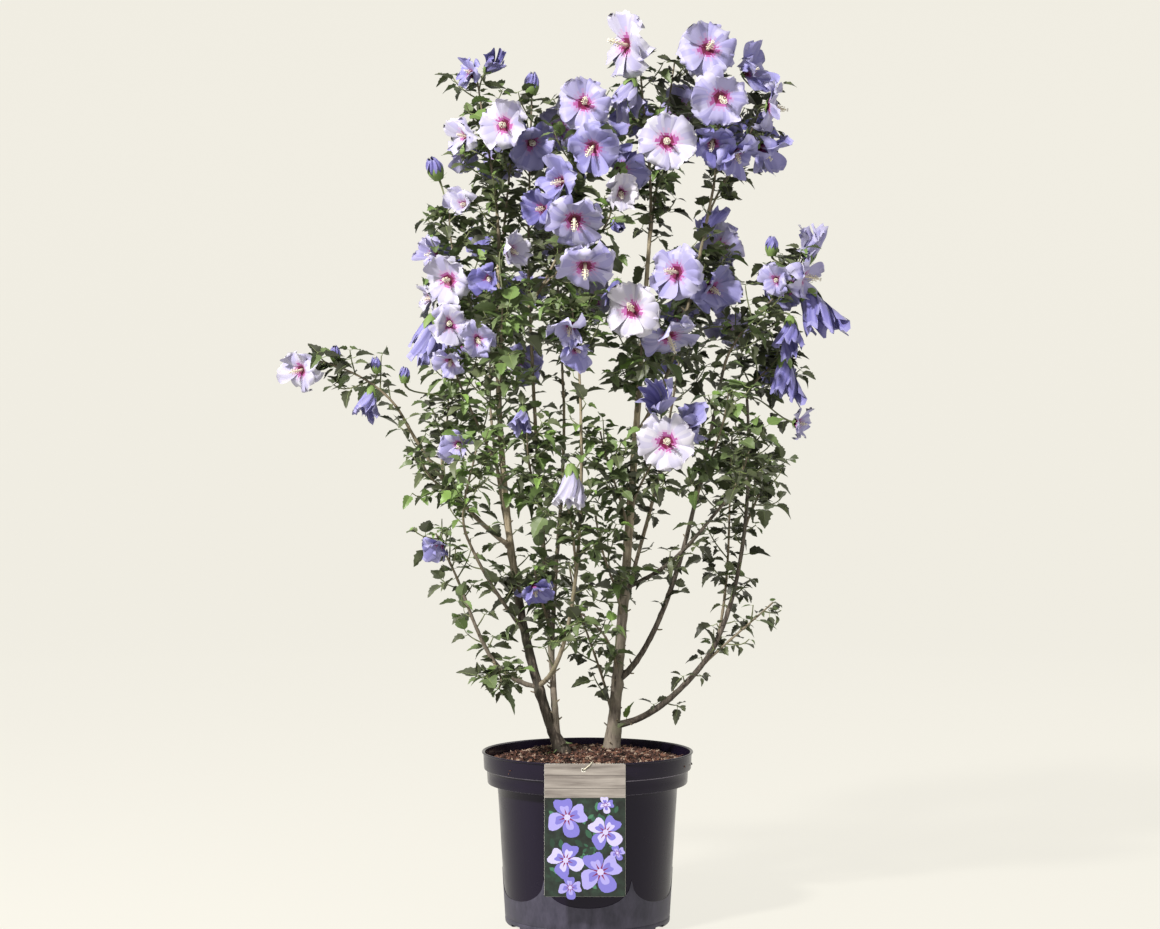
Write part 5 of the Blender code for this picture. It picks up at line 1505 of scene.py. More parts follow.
def tube_tree(name, rules):
    """Follows every line of a mesh with a round tube; each point's own mark is its radius."""
    made, start, end = tree(name, sides=("Int", 7), stoutness=("Float", 1.0))
    lines = added(made, "GeometryNodeMeshToCurve", {"Mesh": start["Geometry"]})
    circle = added(made, "GeometryNodeCurvePrimitiveCircle", {
        "Radius": 1, "Resolution": start["Sides"]})
    skin = added(made, "GeometryNodeCurveToMesh", {
        "Fill Caps": True, "Curve": lines.outputs["Curve"], "Profile Curve": circle.outputs["Curve"],
        "Scale": product(made, marked(made, "thick", "FLOAT"), start["Stoutness"])})
    smooth = added(made, "GeometryNodeSetShadeSmooth", {"Geometry": skin.outputs["Mesh"]})
    return closed(made, end, smooth.outputs["Geometry"], rules)


def make_twigs(settings):
    """Every stem, twig, spur and stalk, as one piece."""
    corners, edges, thick, tints = [], [], [], []
    for line, widths, tint in plan().twigs:
        first = len(corners)
        corners += [tuple(spot) for spot in line]
        edges += [(first + n, first + n + 1) for n in range(len(line) - 1)]
        thick += list(widths)
        tints += [tint] * len(line)
    mesh = bpy.data.meshes.new("twigs")
    mesh.from_pydata(corners, edges, [])
    mesh.attributes.new("thick", "FLOAT", "POINT").data.foreach_set("value", thick)
    mesh.attributes.new("tint", "INT", "POINT").data.foreach_set("value", tints)
    woody, young = plain("stem_tan", "#756a58", 0.7), plain("twig_green", "#5f6444", 0.65)
    tubes = tube_tree("twig_tubes", [(woody, {}), (young, {"tint": 1})])
    piece = grown(stored("twigs", mesh), tubes, sides=7, stoutness=settings.twig_stoutness)
    finished(piece, "foliage", *[spray.name for spray in SPRAYS])


def bark_surface(name, dark, light, moss, young):
    """Ridged grey-brown bark that turns paler and smoother up the limb."""
    made = Surface(name, 0.85, 0.3)
    grain = made.noise(260, 6, 0.65, made.stretched((1, 1, 0.16)))
    patches = made.spread(made.noise(38, 4, 0.6), 0.50, 0.68, 0, 0.55)
    specks = made.spread(made.cells(420, made.stretched((1, 1, 2.2))), 0.02, 0.12, 0.5, 0)
    old = made.ramp(grain, (0.30, dark), (0.52, light), (0.74, "#7d7469"))
    smooth = made.ramp(grain, *zip((0.28, 0.5, 0.75), young))
    rise = made.spread(made.height(), 0.44, 0.64, 0, 1)
    mossy = made.mixed(patches, made.mixed(rise, old, smooth), moss)
    made.shows(made.mixed(specks, mossy, "#b3a994"))
    made.bump(grain, 0.5, 0.8 * MM)
    return made.material


def scars_of(limb, dice):
    """Collars where others leave a limb, and old leaf scars: how far up, facing, and width."""
    line = plan().limbs[limb.name][0]
    long = length_of(line)
    others = [plan().limbs[other.name] for other in LIMBS
              if other.parent == limb.name and other.rises is not None]
    others += [plan().stems[spray.name] for spray in SPRAYS
               if spray.limb == limb.name and spray.share < 1]
    scars = []
    for branch, widths in others:
        step = min(range(len(line)), key=lambda n: (line[n] - branch[0]).length)
        ahead = (branch[min(3, len(branch) - 1)] - branch[0]).normalized()
        scars.append((length_of(line[:step + 1]) + widths[0], ahead, widths[0]))
    spot = dice.uniform(0.01, 0.03)
    while spot < long:
        way = square_to(along(line, min(0.99, spot / long))[1], dice.uniform(0, 6.28))
        scars.append((spot, way, LEAF_SCAR))
        spot += dice.uniform(0.018, 0.042)
    return scars


def bark_relief(scars, seed, depth):
    """How far bark stands out: ridges all along, and a swelling at each scar."""
    def relief(gone, angle, out, radius):
        around = Vector((cos(angle) * 2.4, sin(angle) * 2.4, gone * 24 + seed))
        fine = Vector((cos(angle) * 6, sin(angle) * 6, gone * 90 + seed))
        swell = radius * depth * (noise.noise(around) + 0.6 * noise.noise(fine))
        for where, way, width in scars:
            far = (gone - where) / (width * 1.6 + 1.5 * MM)
            if abs(far) < 2.5:
                swell += width * 0.42 * exp(-far * far) * max(0, out.dot(way) + 0.25)
        return swell
    return relief


def make_limbs(settings):
    """Each limb as a barked tube, with ridges, scars, and collars where others leave it."""
    barks = {name: bark_surface(name, *tones) for name, tones in BARKS.items()}
    for limb in LIMBS:
        line, radii = (list(part) for part in plan().limbs[limb.name])
        dice = random.Random("bark " + limb.name)
        scars = scars_of(limb, dice)
        relief = bark_relief(scars, dice.uniform(0, 50), settings.bark_depth)
        if not limb.parent:
            line.insert(0, line[0] - (line[1] - line[0]).normalized() * 0.012)
            radii.insert(0, radii[0] * 1.15)
        stout = max(radii)
        sides = 28 if stout > 8 * MM else 16 if stout > 3.5 * MM else 12
        shell = Shell()
        shell.grid(carried(line, radii, sides, relief), closed=True, ends=True)
        bark = "bark_brown" if limb.name.startswith("bough_right") else "bark_stem"
        bark = LIMB_BARKS.get(limb.name, bark)
        title = limb.name + "_bark"
        finished(stored(title, shell.solid(title), (barks[bark],)), "bark", limb.name)


def pot_surfaces(settings):
    """Glossy moulded plastic: near-black panels, a greyer band below them, and pale edge lines, painted
    highlights.
    """
    panel = Surface("pot_gloss", 0.22, 0.20)
    haze = panel.noise(9, 3, 0.5, panel.stretched((1, 1, 0.25)))
    panel.shows(panel.ramp(haze, (0.3, settings.panel_colour), (0.75, "#1a1426")),
                panel.spread(panel.noise(34, 5, 0.6), 0.35, 0.7, 0.17, 0.30))
    panel.bump(panel.noise(500, 2, 0.5, panel.stretched((1, 1, 0.05))), 0.06, 0.3 * MM)
    band = Surface("pot_band", 0.40, 0.25)
    scuffs = band.noise(60, 6, 0.7, band.stretched((1, 1, 0.4)))
    band.shows(band.ramp(scuffs, (0.35, settings.band_colour), (0.70, "#494656")),
               band.spread(scuffs, 0.3, 0.75, 0.34, 0.55))
    band.bump(band.noise(900, 2), 0.05, 0.2 * MM)
    # Pale lines at the bands' steps: painted highlights
    edge = Surface("pot_edge", 0.30, 0.5)
    edge.shows(edge.ramp(edge.noise(40, 3), (0.3, "#4a4454"), (0.7, "#7d7688")))
    return panel.material, band.material, edge.material


def scallop(angle):
    """The height at which a panel ends, at an angle round the pot; a panel faces the front."""
    panel = pi / 3
    off = ((angle + pi / 2 + panel / 2) % panel) / panel * 2 - 1
    return 0.040 + 0.036 * (1 - sqrt(max(0, 1 - abs(off) ** 2.4)))


def make_pot(settings):
    """A thin-walled round pot: six panels over a band, two stepped bands and a lip."""
    wall, foot, neck = POT_WALL, POT_FOOT_RADIUS, POT_NECK_RADIUS
    low, high = LOWER_BAND_RADIUS, UPPER_BAND_RADIUS
    rows = []

    def rings(*profile):
        """Adds rings: each has a radius and a height, which may follow the angle."""
        for ring in profile:
            points = []
            for number in range(settings.sides):
                angle = 2 * pi * number / settings.sides
                radius, height = (part(angle) if callable(part) else part for part in ring)
                points.append((radius * cos(angle), radius * sin(angle), height))
            rows.append(points)

    def body(height):
        share = (height - 5 * MM) / (LOWER_BAND_FOOT - 5 * MM)
        return foot + 0.6 * MM + (neck - foot - 0.6 * MM) * share

    def sloped(start, end, share, inset=0):
        """A ring between two lines round the pot, set in from its body."""
        def height(angle):
            first, last = (line(angle) if callable(line) else line for line in (start, end))
            return first + (last - first) * share
        return (lambda angle: body(height(angle)) - inset, height)

    rings(
        (0.004, 0.6 * MM), (foot - 0.016, 0.6 * MM), (foot - 0.014, 0), (foot - 1.8 * MM, 0),
        (foot - 0.5 * MM, 0.5 * MM), (foot + 0.5 * MM, 2.0 * MM), (foot + 0.9 * MM, 6.5 * MM),
        (foot + 0.6 * MM, 8.2 * MM), (foot - 0.1 * MM, 9.0 * MM), (body(PANEL_FOOT), PANEL_FOOT),
        *(sloped(PANEL_FOOT, scallop, share) for share in (0.25, 0.5, 0.75, 0.94)),
    )
    panels = len(rows)
    rings(
        sloped(scallop, PANEL_TOP, 0),
        (lambda angle: body(scallop(angle)) - 0.55 * MM, lambda angle: scallop(angle) + 0.5 * MM),
        *(sloped(scallop, PANEL_TOP, share, 0.6 * MM)
          for share in (0.04, 0.12, 0.24, 0.36, 0.50, 0.64, 0.78, 0.90)),
        (neck - 0.6 * MM, PANEL_TOP + 1.5 * MM), (neck + 0.2 * MM, LOWER_BAND_FOOT - 1.2 * MM),
        (neck + 2.0 * MM, LOWER_BAND_FOOT - 0.2 * MM),
    )
    # The lower band's foot, and the step and ledge at its top, take the pale edge surface: painted
    # highlight lines
    edges = {len(rows)}
    rings(
        (low - 3.2 * MM, LOWER_BAND_FOOT), (low - 1.7 * MM, LOWER_BAND_FOOT + 0.6 * MM),
        (low - 1.0 * MM, LOWER_BAND_FOOT + 2 * MM),
        (low - 0.5 * MM, (LOWER_BAND_FOOT + LOWER_BAND_TOP) / 2),
    )
    edges.update(range(len(rows), len(rows) + 3))
    rings(
        (low, LOWER_BAND_TOP - 0.8 * MM), (low + 0.6 * MM, LOWER_BAND_TOP),
        (high - 2.6 * MM, LOWER_BAND_TOP + 0.3 * MM), (high - 1.3 * MM, LOWER_BAND_TOP + 0.9 * MM),
        (high - 0.9 * MM, LOWER_BAND_TOP + 2.0 * MM), (high - 0.4 * MM, POT_HEIGHT - 0.012),
        (high, POT_HEIGHT - LIP_HEIGHT - 0.8 * MM),
    )
    lip = POT_HEIGHT - LIP_HEIGHT / 2
    for number in range(9):
        turn = radians(-70 + 200 * number / 8)
        rings((POT_RIM_RADIUS - 1.4 * MM + 1.4 * MM * cos(turn), lip + 1.45 * MM * sin(turn)))
    rings(
        (high - wall, POT_HEIGHT - 1.4 * MM), (high - 1 * MM - wall, LOWER_BAND_TOP + wall + 1 * MM),
        (low - 1 * MM - wall, LOWER_BAND_TOP + wall),
        (low - 2 * MM - wall, LOWER_BAND_FOOT + wall + 1 * MM), (neck - wall, LOWER_BAND_FOOT + wall),
        (foot - wall, POT_FLOOR + 1 * MM), (foot - wall - 1 * MM, POT_FLOOR), (0.004, POT_FLOOR),
    )

    def zone(row, column):
        return 2 if row in edges else 0 if row >= panels else 1

    shell = Shell()
    shell.grid(rows, zone, closed=True, ends=True)
    mesh = shell.solid("pot_shell")
    zoned(mesh, 3)
    piece = stored("pot_shell", mesh, pot_surfaces(settings))
    slots = Shell()
    corners, faces = box_shape((foot - SLOT_DEPTH, -SLOT_WIDTH / 2, -0.01),
                               (foot + 0.01, SLOT_WIDTH / 2, SLOT_HEIGHT))
    for number in range(SLOT_COUNT):
        spin = Matrix.Rotation(2 * pi * number / SLOT_COUNT - pi / 2, 3, "Z")
        slots.add([spin @ corner for corner in corners], faces)
    cut(piece, stored("slots", slots.solid("slots", False), piece.data.materials[:1]))
    piece.data.shade_smooth()
    piece.data.set_sharp_from_angle(angle=radians(38))
    finished(piece, "pot", "pot")


def soil_height(x, y):
    """The compost's surface: the source's mound with small heaps and hollows."""
    radius = hypot(x, y)
    height = SOIL_PROFILE[-1][1]
    for (near, high), (far, low) in zip(SOIL_PROFILE, SOIL_PROFILE[1:]):
        if near <= radius <= far:
            height = high + (low - high) * (radius - near) / (far - near)
            break
    bumps = noise.noise(Vector((x * 60, y * 60, 3))) + 0.5 * noise.noise(Vector((x * 150, y * 150, 9)))
    return height - 1.2 * MM + bumps * 1.6 * MM


def flake(seed):
    """A splinter of composted bark; the last forms are long and thin."""
    dice = random.Random(seed)
    long, wide, thick = 1.0, dice.uniform(0.35, 0.75), dice.uniform(0.12, 0.30)
    if seed > 4:
        long, wide, thick = 1.7, dice.uniform(0.12, 0.20), 0.10
    shell = Shell()
    count = 5
    rim = []
    for number in range(count):
        turn = 2 * pi * number / count + dice.uniform(-0.3, 0.3)
        reach = dice.uniform(0.75, 1.1) / 2
        rim.append((long * reach * cos(turn), wide * reach * sin(turn)))
    low = [(x, y, -thick / 2 + dice.uniform(-0.06, 0.06)) for x, y in rim]
    high = [(x * 0.82, y * 0.82, thick / 2 + dice.uniform(-0.08, 0.08)) for x, y in rim]
    faces = [tuple(range(count))[::-1], tuple(range(count, 2 * count))]
    faces += [(n, (n + 1) % count, count + (n + 1) % count, count + n) for n in range(count)]
    shell.add(low + high, faces)
    return shell.mesh("flake_form", smooth=False)


def chips_tree(name, rules, kinds):
    """Strews templates over a surface, each at a turn, size and tint of its own."""
    made, start, end = tree(name, templates=("Collection", None), density=("Float", 1000.0),
                            size=("Float", 0.01), seed=("Int", 1))

    def chance(kind, low, high, seed):
        first = {"FLOAT_VECTOR": 0, "FLOAT": 2, "INT": 4}[kind]
        node = added(made, "FunctionNodeRandomValue", {first: low, first + 1: high, "Seed": seed},
                     data_type=kind)
        return live(node.outputs)

    spread = added(made, "GeometryNodeDistributePointsOnFaces", {
        "Mesh": start["Geometry"], "Density": start["Density"], "Seed": start["Seed"]})
    put = instanced(made, start, spread.outputs["Points"], chance("INT", 0, kinds - 1, 11),
                    chance("FLOAT_VECTOR", (-0.7, -0.7, 0.0), (0.7, 0.7, 6.28), 12),
                    chance("FLOAT", 0.25, 1.25, 13))
    mark = added(made, "GeometryNodeStoreNamedAttribute", {"Name": "tint", "Geometry": put},
                 data_type="INT", domain="INSTANCE")
    made.links.new(chance("INT", 0, len(rules) - 1, 14), live(mark.inputs, "Value"))
    return closed(made, end, mark.outputs["Geometry"], rules)


def make_soil(settings):
    """The compost: a rough mound that fills the pot, and the bark chips that lie on it."""
    inner = UPPER_BAND_RADIUS - 1 * MM - POT_WALL - 0.5 * MM
    rows = []
    for number in range(SOIL_RINGS):
        ring = circle(inner * ((number + 1) / SOIL_RINGS), 0, SOIL_SIDES)
        rows.append([(x, y, soil_height(x, y)) for x, y, _ in ring])
    top = Shell()
    top.grid(rows, closed=True)
    field = stored("chips", top.mesh("chips"))
    wall = POT_WALL + 0.6 * MM
    for radius, height in (
        (UPPER_BAND_RADIUS - 2 * MM - wall, LOWER_BAND_TOP + POT_WALL + 2 * MM),
        (LOWER_BAND_RADIUS - 2 * MM - wall, LOWER_BAND_TOP + POT_WALL),
        (LOWER_BAND_RADIUS - 4 * MM - wall, LOWER_BAND_FOOT + POT_WALL + 2 * MM),
        (POT_NECK_RADIUS - 1 * MM - wall, LOWER_BAND_FOOT + POT_WALL),
        (POT_FOOT_RADIUS - 0.6 * MM - wall, SLOT_HEIGHT + 2 * MM),
        (POT_FOOT_RADIUS - SLOT_DEPTH - 1 * MM, POT_FLOOR + 0.3 * MM),
    ):
        rows.append(circle(radius, height, SOIL_SIDES))
    body = Shell()
    body.grid(rows, closed=True, ends=True)
    surface = Surface("compost", 0.95, 0.2)
    crumbs = surface.cells(420)
    earth = surface.ramp(surface.noise(120, 6, 0.7), (0.3, "#211512"), (0.5, "#3b2822"), (0.7, "#54392f"))
    surface.shows(surface.mixed(surface.spread(crumbs, 0.0, 0.5, 0.5, 0), earth, "#2a1a14"))
    surface.bump(crumbs, 0.9, 1.5 * MM)
    finished(stored("compost", body.solid("compost"), (surface.material,)), "soil", "soil")
    tones = ("#38241f", "#4a312a", "#624439", "#261915", "#6f4f41", "#1c1311", "#4a3733", "#9a8778")
    rules = tinted("chip", tones, 0.9, 0.25)
    forms = [flake(seed) for seed in range(7)]
    grown(field, chips_tree("compost_chips", rules, len(forms)), forms,
          density=settings.chip_density, size=settings.chip_size, seed=4)
    for form in forms:
        bpy.data.meshes.remove(form)
    finished(field, "soil", "soil")


def rounded(width, height, radius, steps=6):
    """The corners of a rounded oblong about its middle, anticlockwise."""
    corners = []
    for number, (x, z) in enumerate(((1, 1), (-1, 1), (-1, -1), (1, -1))):
        for step in range(steps + 1):
            turn = pi / 2 * (number + step / steps)
            corners.append((
                x * (width / 2 - radius) + radius * cos(turn),
                z * (height / 2 - radius) + radius * sin(turn),
            ))
    return corners


class Print(Shell):
    """Flat printed shapes, each a hair in front of the one before; across is from the card's middle."""

    def flat(self, points, ink):
        y = CARD_FACE - 0.05 * MM - 0.0025 * MM * (len(self.faces) + 1)
        self.add([(CARD_ACROSS + x, y, z) for x, z in points], [tuple(range(len(points)))], ink)

    def oblong(self, left, right, low, high, ink):
        self.flat([(left, low), (right, low), (right, high), (left, high)], ink)

    def leaf(self, x, z, turn, long, ink):
        half = [(0.20, 0.25), (0.26, 0.5), (0.16, 0.8)]
        shape = [(0, 0), *half, (0, 1), *((-a, b) for a, b in reversed(half))]
        self.flat([(x + long * (a * cos(turn) - b * sin(turn)),
                    z + long * (a * sin(turn) + b * cos(turn))) for a, b in shape], ink)

    def blossom(self, x, z, size, turn, ink):
        """Four large petals and four smaller ones over them, rays, and an eye."""
        for layer, width in ((0, 1.0), (1, 0.62)):
            for number in range(4):
                points = []
                for step in range(12):
                    share = step / 12
                    reach = size * width * sin(pi * share) ** 0.45
                    reach *= 0.54 + 0.05 * sin(9 * share + number) - 0.04 * cos(4 * pi * share)
                    way = turn + pi / 2 * number + (share - 0.5) * (1.80 - 0.5 * layer)
                    points.append((x + reach * cos(way), z + reach * sin(way)))
                self.flat(points, ink + (number + layer) % 2)
        for number in range(8):
            way = turn + pi / 4 * number
            across = (-sin(way) * size * 0.035, cos(way) * size * 0.035)
            tip = (x + size * 0.24 * cos(way), z + size * 0.24 * sin(way))
            self.flat([(x - across[0], z - across[1]), (x + across[0], z + across[1]), tip], RAY_INK)
        self.flat([(x + a, z + b) for a, b, _ in circle(size * 0.085, 0, 8)], EYE_INK)


def make_card():
    """The label's card, with its hole."""
    middle = CARD_TOP - CARD_HEIGHT / 2
    edge, back = 0.2 * MM, CARD_FACE + CARD_THICKNESS
    outline = rounded(CARD_WIDTH, CARD_HEIGHT, 2.2 * MM)
    shell = Shell()
    shell.grid([
        [(CARD_ACROSS + x * (1 - inset / 0.05), y, middle + z * (1 - inset / 0.09)) for x, z in outline]
        for y, inset in ((CARD_FACE, edge), (CARD_FACE + edge, 0), (back - edge, 0), (back, edge))
    ], closed=True, ends=True)
    stock = Surface("card_stock", 0.35, 0.5)
    stock.shows(stock.ramp(stock.noise(700, 3), (0.3, "#d9d6cc"), (0.7, "#eceae2")))
    piece = stored("label", shell.solid("label", False), (stock.material,))
    bpy.ops.mesh.primitive_cylinder_add(vertices=32, radius=HOLE_RADIUS, depth=0.02)
    hole = bpy.context.object
    middle = Matrix.Translation((HOLE_ACROSS, CARD_FACE, HOLE_HEIGHT))
    hole.data.transform(middle @ Matrix.Rotation(pi / 2, 4, "X"))
    cut(piece, hole)
    finished(piece, "card", "label_card")


def make_print():
    """What the card shows: a plank above, and small blossoms on a green ground."""
    half = CARD_WIDTH / 2 - 0.15 * MM
    top, foot, split = CARD_TOP - 0.15 * MM, CARD_TOP - CARD_HEIGHT + 0.15 * MM, CARD_TOP - 0.046
    gap = 2.6 * MM
    low, high, hole = HOLE_HEIGHT - gap, HOLE_HEIGHT + gap, HOLE_ACROSS - CARD_ACROSS
    printed = Print()
    for part in ((-half, half, split, low), (-half, half, high, top), (-half, hole - gap, low, high),
                 (hole + gap, half, low, high)):
        printed.oblong(*part, 0)
    for line in (split + 0.0125, split + 0.0300):
        printed.flat([(-half, line), (half, line - 0.4 * MM), (half, line + 0.3 * MM),
                      (-half, line + 0.8 * MM)], 1)
    printed.oblong(-half, half, foot, split, 2)
    dice = random.Random("print")
    for number in range(60):
        x, z = dice.uniform(-half + 0.010, half - 0.010), dice.uniform(foot + 0.010, split - 0.012)
        turn = dice.uniform(-1.2, 1.2)
        long = dice.uniform(0.007, 0.016)
        tip_x, tip_z = x - long * sin(turn), z + long * cos(turn)
        if abs(tip_x) < half - 0.003 and foot + 0.003 < tip_z < split - 0.003:
            printed.leaf(x, z, turn, long, 3 + number % 3)
    for place_and_ink in PRINTED_BLOSSOMS:
        printed.blossom(*place_and_ink)
    mesh = printed.mesh("label_print", False)
    zoned(mesh, 10)
    plank, ground = Surface("print_plank", 0.4), Surface("print_ground", 0.35)
    grain = plank.noise(180, 6, 0.65, plank.stretched((0.06, 1, 1)))
    plank.shows(plank.ramp(grain, (0.28, "#5a524e"), (0.5, "#87807b"), (0.75, "#a59e98")))
    ground.shows(ground.ramp(ground.noise(90, 4), (0.35, "#0d1411"), (0.6, "#1b2b22"), (0.8, "#274031")))
    inks = [plank.material, plain("print_gap", "#4e4844", 0.4), ground.material]
    tones = ("#28503c", "#3d6e52", "#1a3427", "#9a93d2", "#716bbd", "#b9b3df", "#741545")
    inks += [plain(f"print_ink_{number}", tone, 0.35) for number, tone in enumerate(tones)]
    finished(stored("label_print", mesh, inks), "card", "label_card")


def make_tie():
    """The thin tie, up from the card's hole, over the rim and down inside the pot."""
    ahead = CARD_FACE - TIE_RADIUS - 0.3 * MM
    over = CARD_TOP + TIE_RADIUS + 0.3 * MM
    inner = -(UPPER_BAND_RADIUS - POT_WALL) + 1.0 * MM + 0.7 * MM
    route = (
        (0.0, -POT_RIM_RADIUS + 0.7 * MM, HOLE_HEIGHT),
        (0.0, ahead + 0.4 * MM, HOLE_HEIGHT),
        (0.15, ahead - 0.3 * MM, HOLE_HEIGHT + 1.4 * MM),
        (0.75, ahead - 0.2 * MM, CARD_TOP - 1 * MM),
        (0.88, ahead + 0.2 * MM, over + 0.3 * MM),
        (0.94, ahead + 1.2 * MM, over + 1.0 * MM),
        (1.0, inner - 1.6 * MM, over + 1.0 * MM),
        (1.06, inner - 0.3 * MM, over + 0.2 * MM),
        (1.15, inner, POT_HEIGHT - 3 * MM),
        (1.5, inner + 1 * MM, SOIL_EDGE + 1 * MM),
    )
    spots = [Vector((HOLE_ACROSS + share * TIE_SHIFT, y, z)) for share, y, z in route]
    line = []
    for number in range(len(spots) - 1):
        a, b = spots[max(number - 1, 0)], spots[number]
        c, d = spots[number + 1], spots[min(number + 2, len(spots) - 1)]
        for step in range(5):
            t = step / 5
            line.append(0.5 * ((2 * b) + (c - a) * t + (2 * a - 5 * b + 4 * c - d) * t * t
                               + (3 * b - a - 3 * c + d) * t ** 3))
    line.append(spots[-1])

    def twist(gone, angle, out, radius):
        return 0.06 * MM * sin(3 * angle + gone * 3000)

    shell = Shell()
    shell.grid(carried(line, [TIE_RADIUS] * len(line), 10, twist), closed=True, ends=True)
    strand = Surface("tie_strand", 0.6)
    strand.shows(strand.ramp(strand.noise(900, 3), (0.3, "#b9b29c"), (0.7, "#ded8c4")))
    finished(stored("label_cord", shell.solid("label_cord"), (strand.material,)), "tie", "label_tie")


def make_stage(settings):
    """A pale floor that curves up all round, three lamps and the camera."""
    reach, bend = 4.4, 2.0
    profile = [(0.01, 0), (1.5, 0), (3.0, 0), (reach, 0)]
    for number in range(1, 13):
        turn = pi / 2 * number / 12
        profile.append((reach + bend * sin(turn), bend - bend * cos(turn)))
    profile.append((reach + bend, 4.5))
    shell = Shell()
    shell.grid([circle(radius, height, 64) for radius, height in profile], closed=True)
    floor = Surface("studio_floor", 0.95, 0.1)
    base = tuple(settings.floor_colour)
    dull = tuple(part * settings.floor_shade for part in base)
    floor.shows(floor.ramp(floor.noise(0.6, 2), (0.3, dull), (0.7, tuple(part * 1.02 for part in dull))))
    floor.shader.inputs["Emission Color"].default_value = (*base, 1)
    floor.shader.inputs["Emission Strength"].default_value = settings.floor_glow
    stored("studio", shell.mesh("studio"), (floor.material,))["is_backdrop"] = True
    scene = bpy.context.scene
    scene.world = bpy.data.worlds.new("studio_air")
    scene.world.use_nodes = True
    air = scene.world.node_tree.nodes["Background"]
    air.inputs["Color"].default_value = (*linear("#f4f1e6"), 1)
    air.inputs["Strength"].default_value = settings.air
    for name, spot, aim, size, watts, colour in (
        ("key", (-1.9, -2.3, 2.9), 0.8, 0.40, settings.key, (1.0, 0.97, 0.92)),
        ("fill", (2.4, -2.8, 1.2), 0.6, 2.2, settings.fill, (0.94, 0.96, 1.0)),
        ("back", (1.6, 2.8, 2.6), 0.8, 1.6, settings.rim, (1.0, 0.98, 0.95)),
    ):
        light = bpy.data.lights.new(name, "AREA")
        light.shape = "DISK"
        light.size = size
        light.energy = watts
        light.color = colour
        lamp = stored(name, light)
        lamp.location = spot
        lamp.rotation_euler = (Vector((0, 0, aim)) - Vector(spot)).to_track_quat("-Z", "Y").to_euler()
        lamp.visible_camera = False
    eye = bpy.data.cameras.new("eye")
    eye.lens = EYE_LENS
    eye.sensor_width = 36
    scene.camera = stored("eye", eye)
    scene.camera.location = (EYE_ACROSS, -EYE_DISTANCE, EYE_HEIGHT)
    scene.camera.rotation_euler = (pi / 2, 0, 0)
    scene.view_settings.view_transform = "Standard"


class RosePotSettings(bpy.types.PropertyGroup):
    """Sizes and colours of the pot and its compost."""

    sides: IntProperty(name="Sides", description="Faces round the pot", default=192, min=48, max=384)
    panel_colour: FloatVectorProperty(
        name="Panel colour", description="The glossy panels and the bands", subtype="COLOR",
        default=linear("#130d1e"), min=0, max=1)
    band_colour: FloatVectorProperty(
        name="Foot colour", description="The duller band under the panels", subtype="COLOR",
        default=linear("#302f3c"), min=0, max=1)
    chip_density: FloatProperty(
        name="Chips", description="Bark chips on a square metre of compost", default=60000, min=0)
    chip_size: FloatProperty(
        name="Chip length", description="The longest bark chip", default=0.0100, unit="LENGTH")


class RoseFoliageSettings(bpy.types.PropertyGroup):
    """Sizes of the bark, twigs and leaves."""

    bark_depth: FloatProperty(
        name="Bark depth", description="Ridges as a share of a limb's radius", default=0.14,
        subtype="FACTOR", min=0, max=1)
    twig_stoutness: FloatProperty(
        name="Twig stoutness", description="Twigs against their usual girth", default=1.0, min=0.2)
    twig_share: FloatProperty(
        name="Twigs", description="Side twigs for each of the source's own", default=1.3, min=0)
    node_step: FloatProperty(
        name="Node step", description="From one bunch of leaves to the next", default=0.0145,
        unit="LENGTH")
    spur_step: FloatProperty(
        name="Spur step", description="From one spur of a limb to the next", default=0.022,
        unit="LENGTH")
    smallest_leaf: FloatProperty(
        name="Smallest leaf", description="Leaf and stalk, end to end", default=0.026, unit="LENGTH")
    largest_leaf: FloatProperty(
        name="Largest leaf", description="Leaf and stalk, end to end", default=0.050, unit="LENGTH")
    leaf_roughness: FloatProperty(
        name="Leaf roughness", description="How dull the leaves are", default=0.48,
        subtype="FACTOR", min=0, max=1)
    petal_sheen: FloatProperty(
        name="Petal sheen", description="The soft shine at a petal's edge", default=0.15,
        subtype="FACTOR", min=0, max=1)


class RoseStageSettings(bpy.types.PropertyGroup):
    """The floor and the lights."""

    floor_colour: FloatVectorProperty(
        name="Floor colour", description="The pale floor and wall", subtype="COLOR",
        default=linear("#f0ede3"), min=0, max=1)
    floor_shade: FloatProperty(
        name="Floor shade", description="How much of the light the floor gives back", default=0.10,
        subtype="FACTOR", min=0, max=1)
    floor_glow: FloatProperty(
        name="Floor glow", description="Light of the floor's own", default=0.915, min=0)
    air: FloatProperty(name="Air", description="Light from all round", default=0.25, min=0)
    key: FloatProperty(name="Key", description="The main light", default=250, min=0)
    fill: FloatProperty(name="Fill", description="The light at the right", default=8, min=0)
    rim: FloatProperty(name="Back", description="The light behind", default=14, min=0)


class ROSE_OT_pot(bpy.types.Operator):
    """Makes the pot"""

    bl_idname = "rose.pot"
    bl_label = "Pot"

    def execute(self, context):
        make_pot(context.scene.rose_pot)
        return {"FINISHED"}


class ROSE_OT_compost(bpy.types.Operator):
    """Makes the compost and its bark chips"""

    bl_idname = "rose.compost"
    bl_label = "Compost"

    def execute(self, context):
        make_soil(context.scene.rose_pot)
        return {"FINISHED"}


class ROSE_OT_label(bpy.types.Operator):
    """Makes the hanging label, its print and its tie"""

    bl_idname = "rose.label"
    bl_label = "Label"

    def execute(self, context):
        make_card()
        make_print()
        make_tie()
        return {"FINISHED"}


class ROSE_OT_limbs(bpy.types.Operator):
    """Makes the trunks and boughs"""

    bl_idname = "rose.limbs"
    bl_label = "Trunks and boughs"

    def execute(self, context):
        make_limbs(context.scene.rose_foliage)
        return {"FINISHED"}


class ROSE_OT_twigs(bpy.types.Operator):
    """Makes the stems, twigs, spurs and stalks"""

    bl_idname = "rose.twigs"
    bl_label = "Twigs"

    def execute(self, context):
        make_twigs(context.scene.rose_foliage)
        return {"FINISHED"}


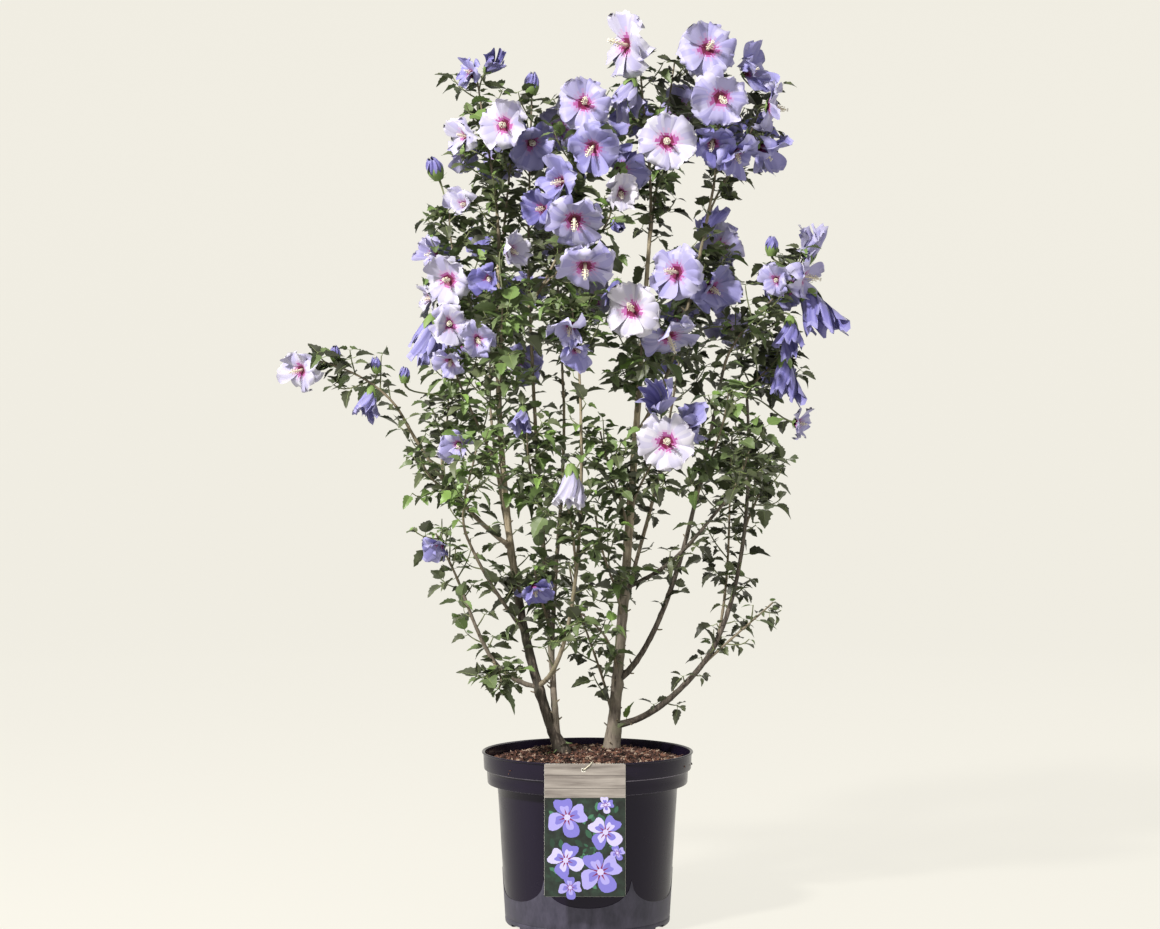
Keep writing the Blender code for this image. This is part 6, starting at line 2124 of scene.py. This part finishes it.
class ROSE_OT_leaves(bpy.types.Operator):
    """Makes the leaves"""

    bl_idname = "rose.leaves"
    bl_label = "Leaves"

    def execute(self, context):
        make_leaves(context.scene.rose_foliage)
        return {"FINISHED"}


class ROSE_OT_blossom(bpy.types.Operator):
    """Makes the flowers and buds"""

    bl_idname = "rose.blossom"
    bl_label = "Blossom"

    def execute(self, context):
        make_blossom(context.scene.rose_foliage)
        return {"FINISHED"}


class ROSE_OT_stage(bpy.types.Operator):
    """Makes the floor, the lights and the camera"""

    bl_idname = "rose.stage"
    bl_label = "Stage"

    def execute(self, context):
        make_stage(context.scene.rose_stage)
        return {"FINISHED"}


PIECES = (
    ROSE_OT_stage, ROSE_OT_pot, ROSE_OT_compost, ROSE_OT_label, ROSE_OT_limbs, ROSE_OT_twigs,
    ROSE_OT_leaves, ROSE_OT_blossom,
)
GROUPS = (
    ("rose_pot", RosePotSettings),
    ("rose_foliage", RoseFoliageSettings),
    ("rose_stage", RoseStageSettings),
)


class ROSE_PT_shrub(bpy.types.Panel):
    """Lists the shrub's pieces and settings"""

    bl_idname = "ROSE_PT_shrub"
    bl_label = "Potted shrub"
    bl_space_type = "VIEW_3D"
    bl_region_type = "UI"
    bl_category = "Shrub"

    def draw(self, context):
        for piece in PIECES:
            self.layout.operator(piece.bl_idname)
        for name, group in GROUPS:
            column = self.layout.column()
            for field in group.__annotations__:
                column.prop(getattr(context.scene, name), field)


def register():
    for name, group in GROUPS:
        bpy.utils.register_class(group)
        setattr(bpy.types.Scene, name, PointerProperty(type=group))
    for piece in (*PIECES, ROSE_PT_shrub):
        bpy.utils.register_class(piece)


def unregister():
    for piece in (ROSE_PT_shrub, *reversed(PIECES)):
        bpy.utils.unregister_class(piece)
    for name, group in reversed(GROUPS):
        delattr(bpy.types.Scene, name)
        bpy.utils.unregister_class(group)


def main():
    register()
    bpy.ops.rose.stage()
    bpy.ops.rose.pot()
    bpy.ops.rose.compost()
    bpy.ops.rose.label()
    bpy.ops.rose.limbs()
    bpy.ops.rose.twigs()
    bpy.ops.rose.leaves()
    bpy.ops.rose.blossom()
    boxes = [[list(corner) for corner in box] for box in (CAD_BOX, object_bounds())]


if __name__ == "__main__":
    main()
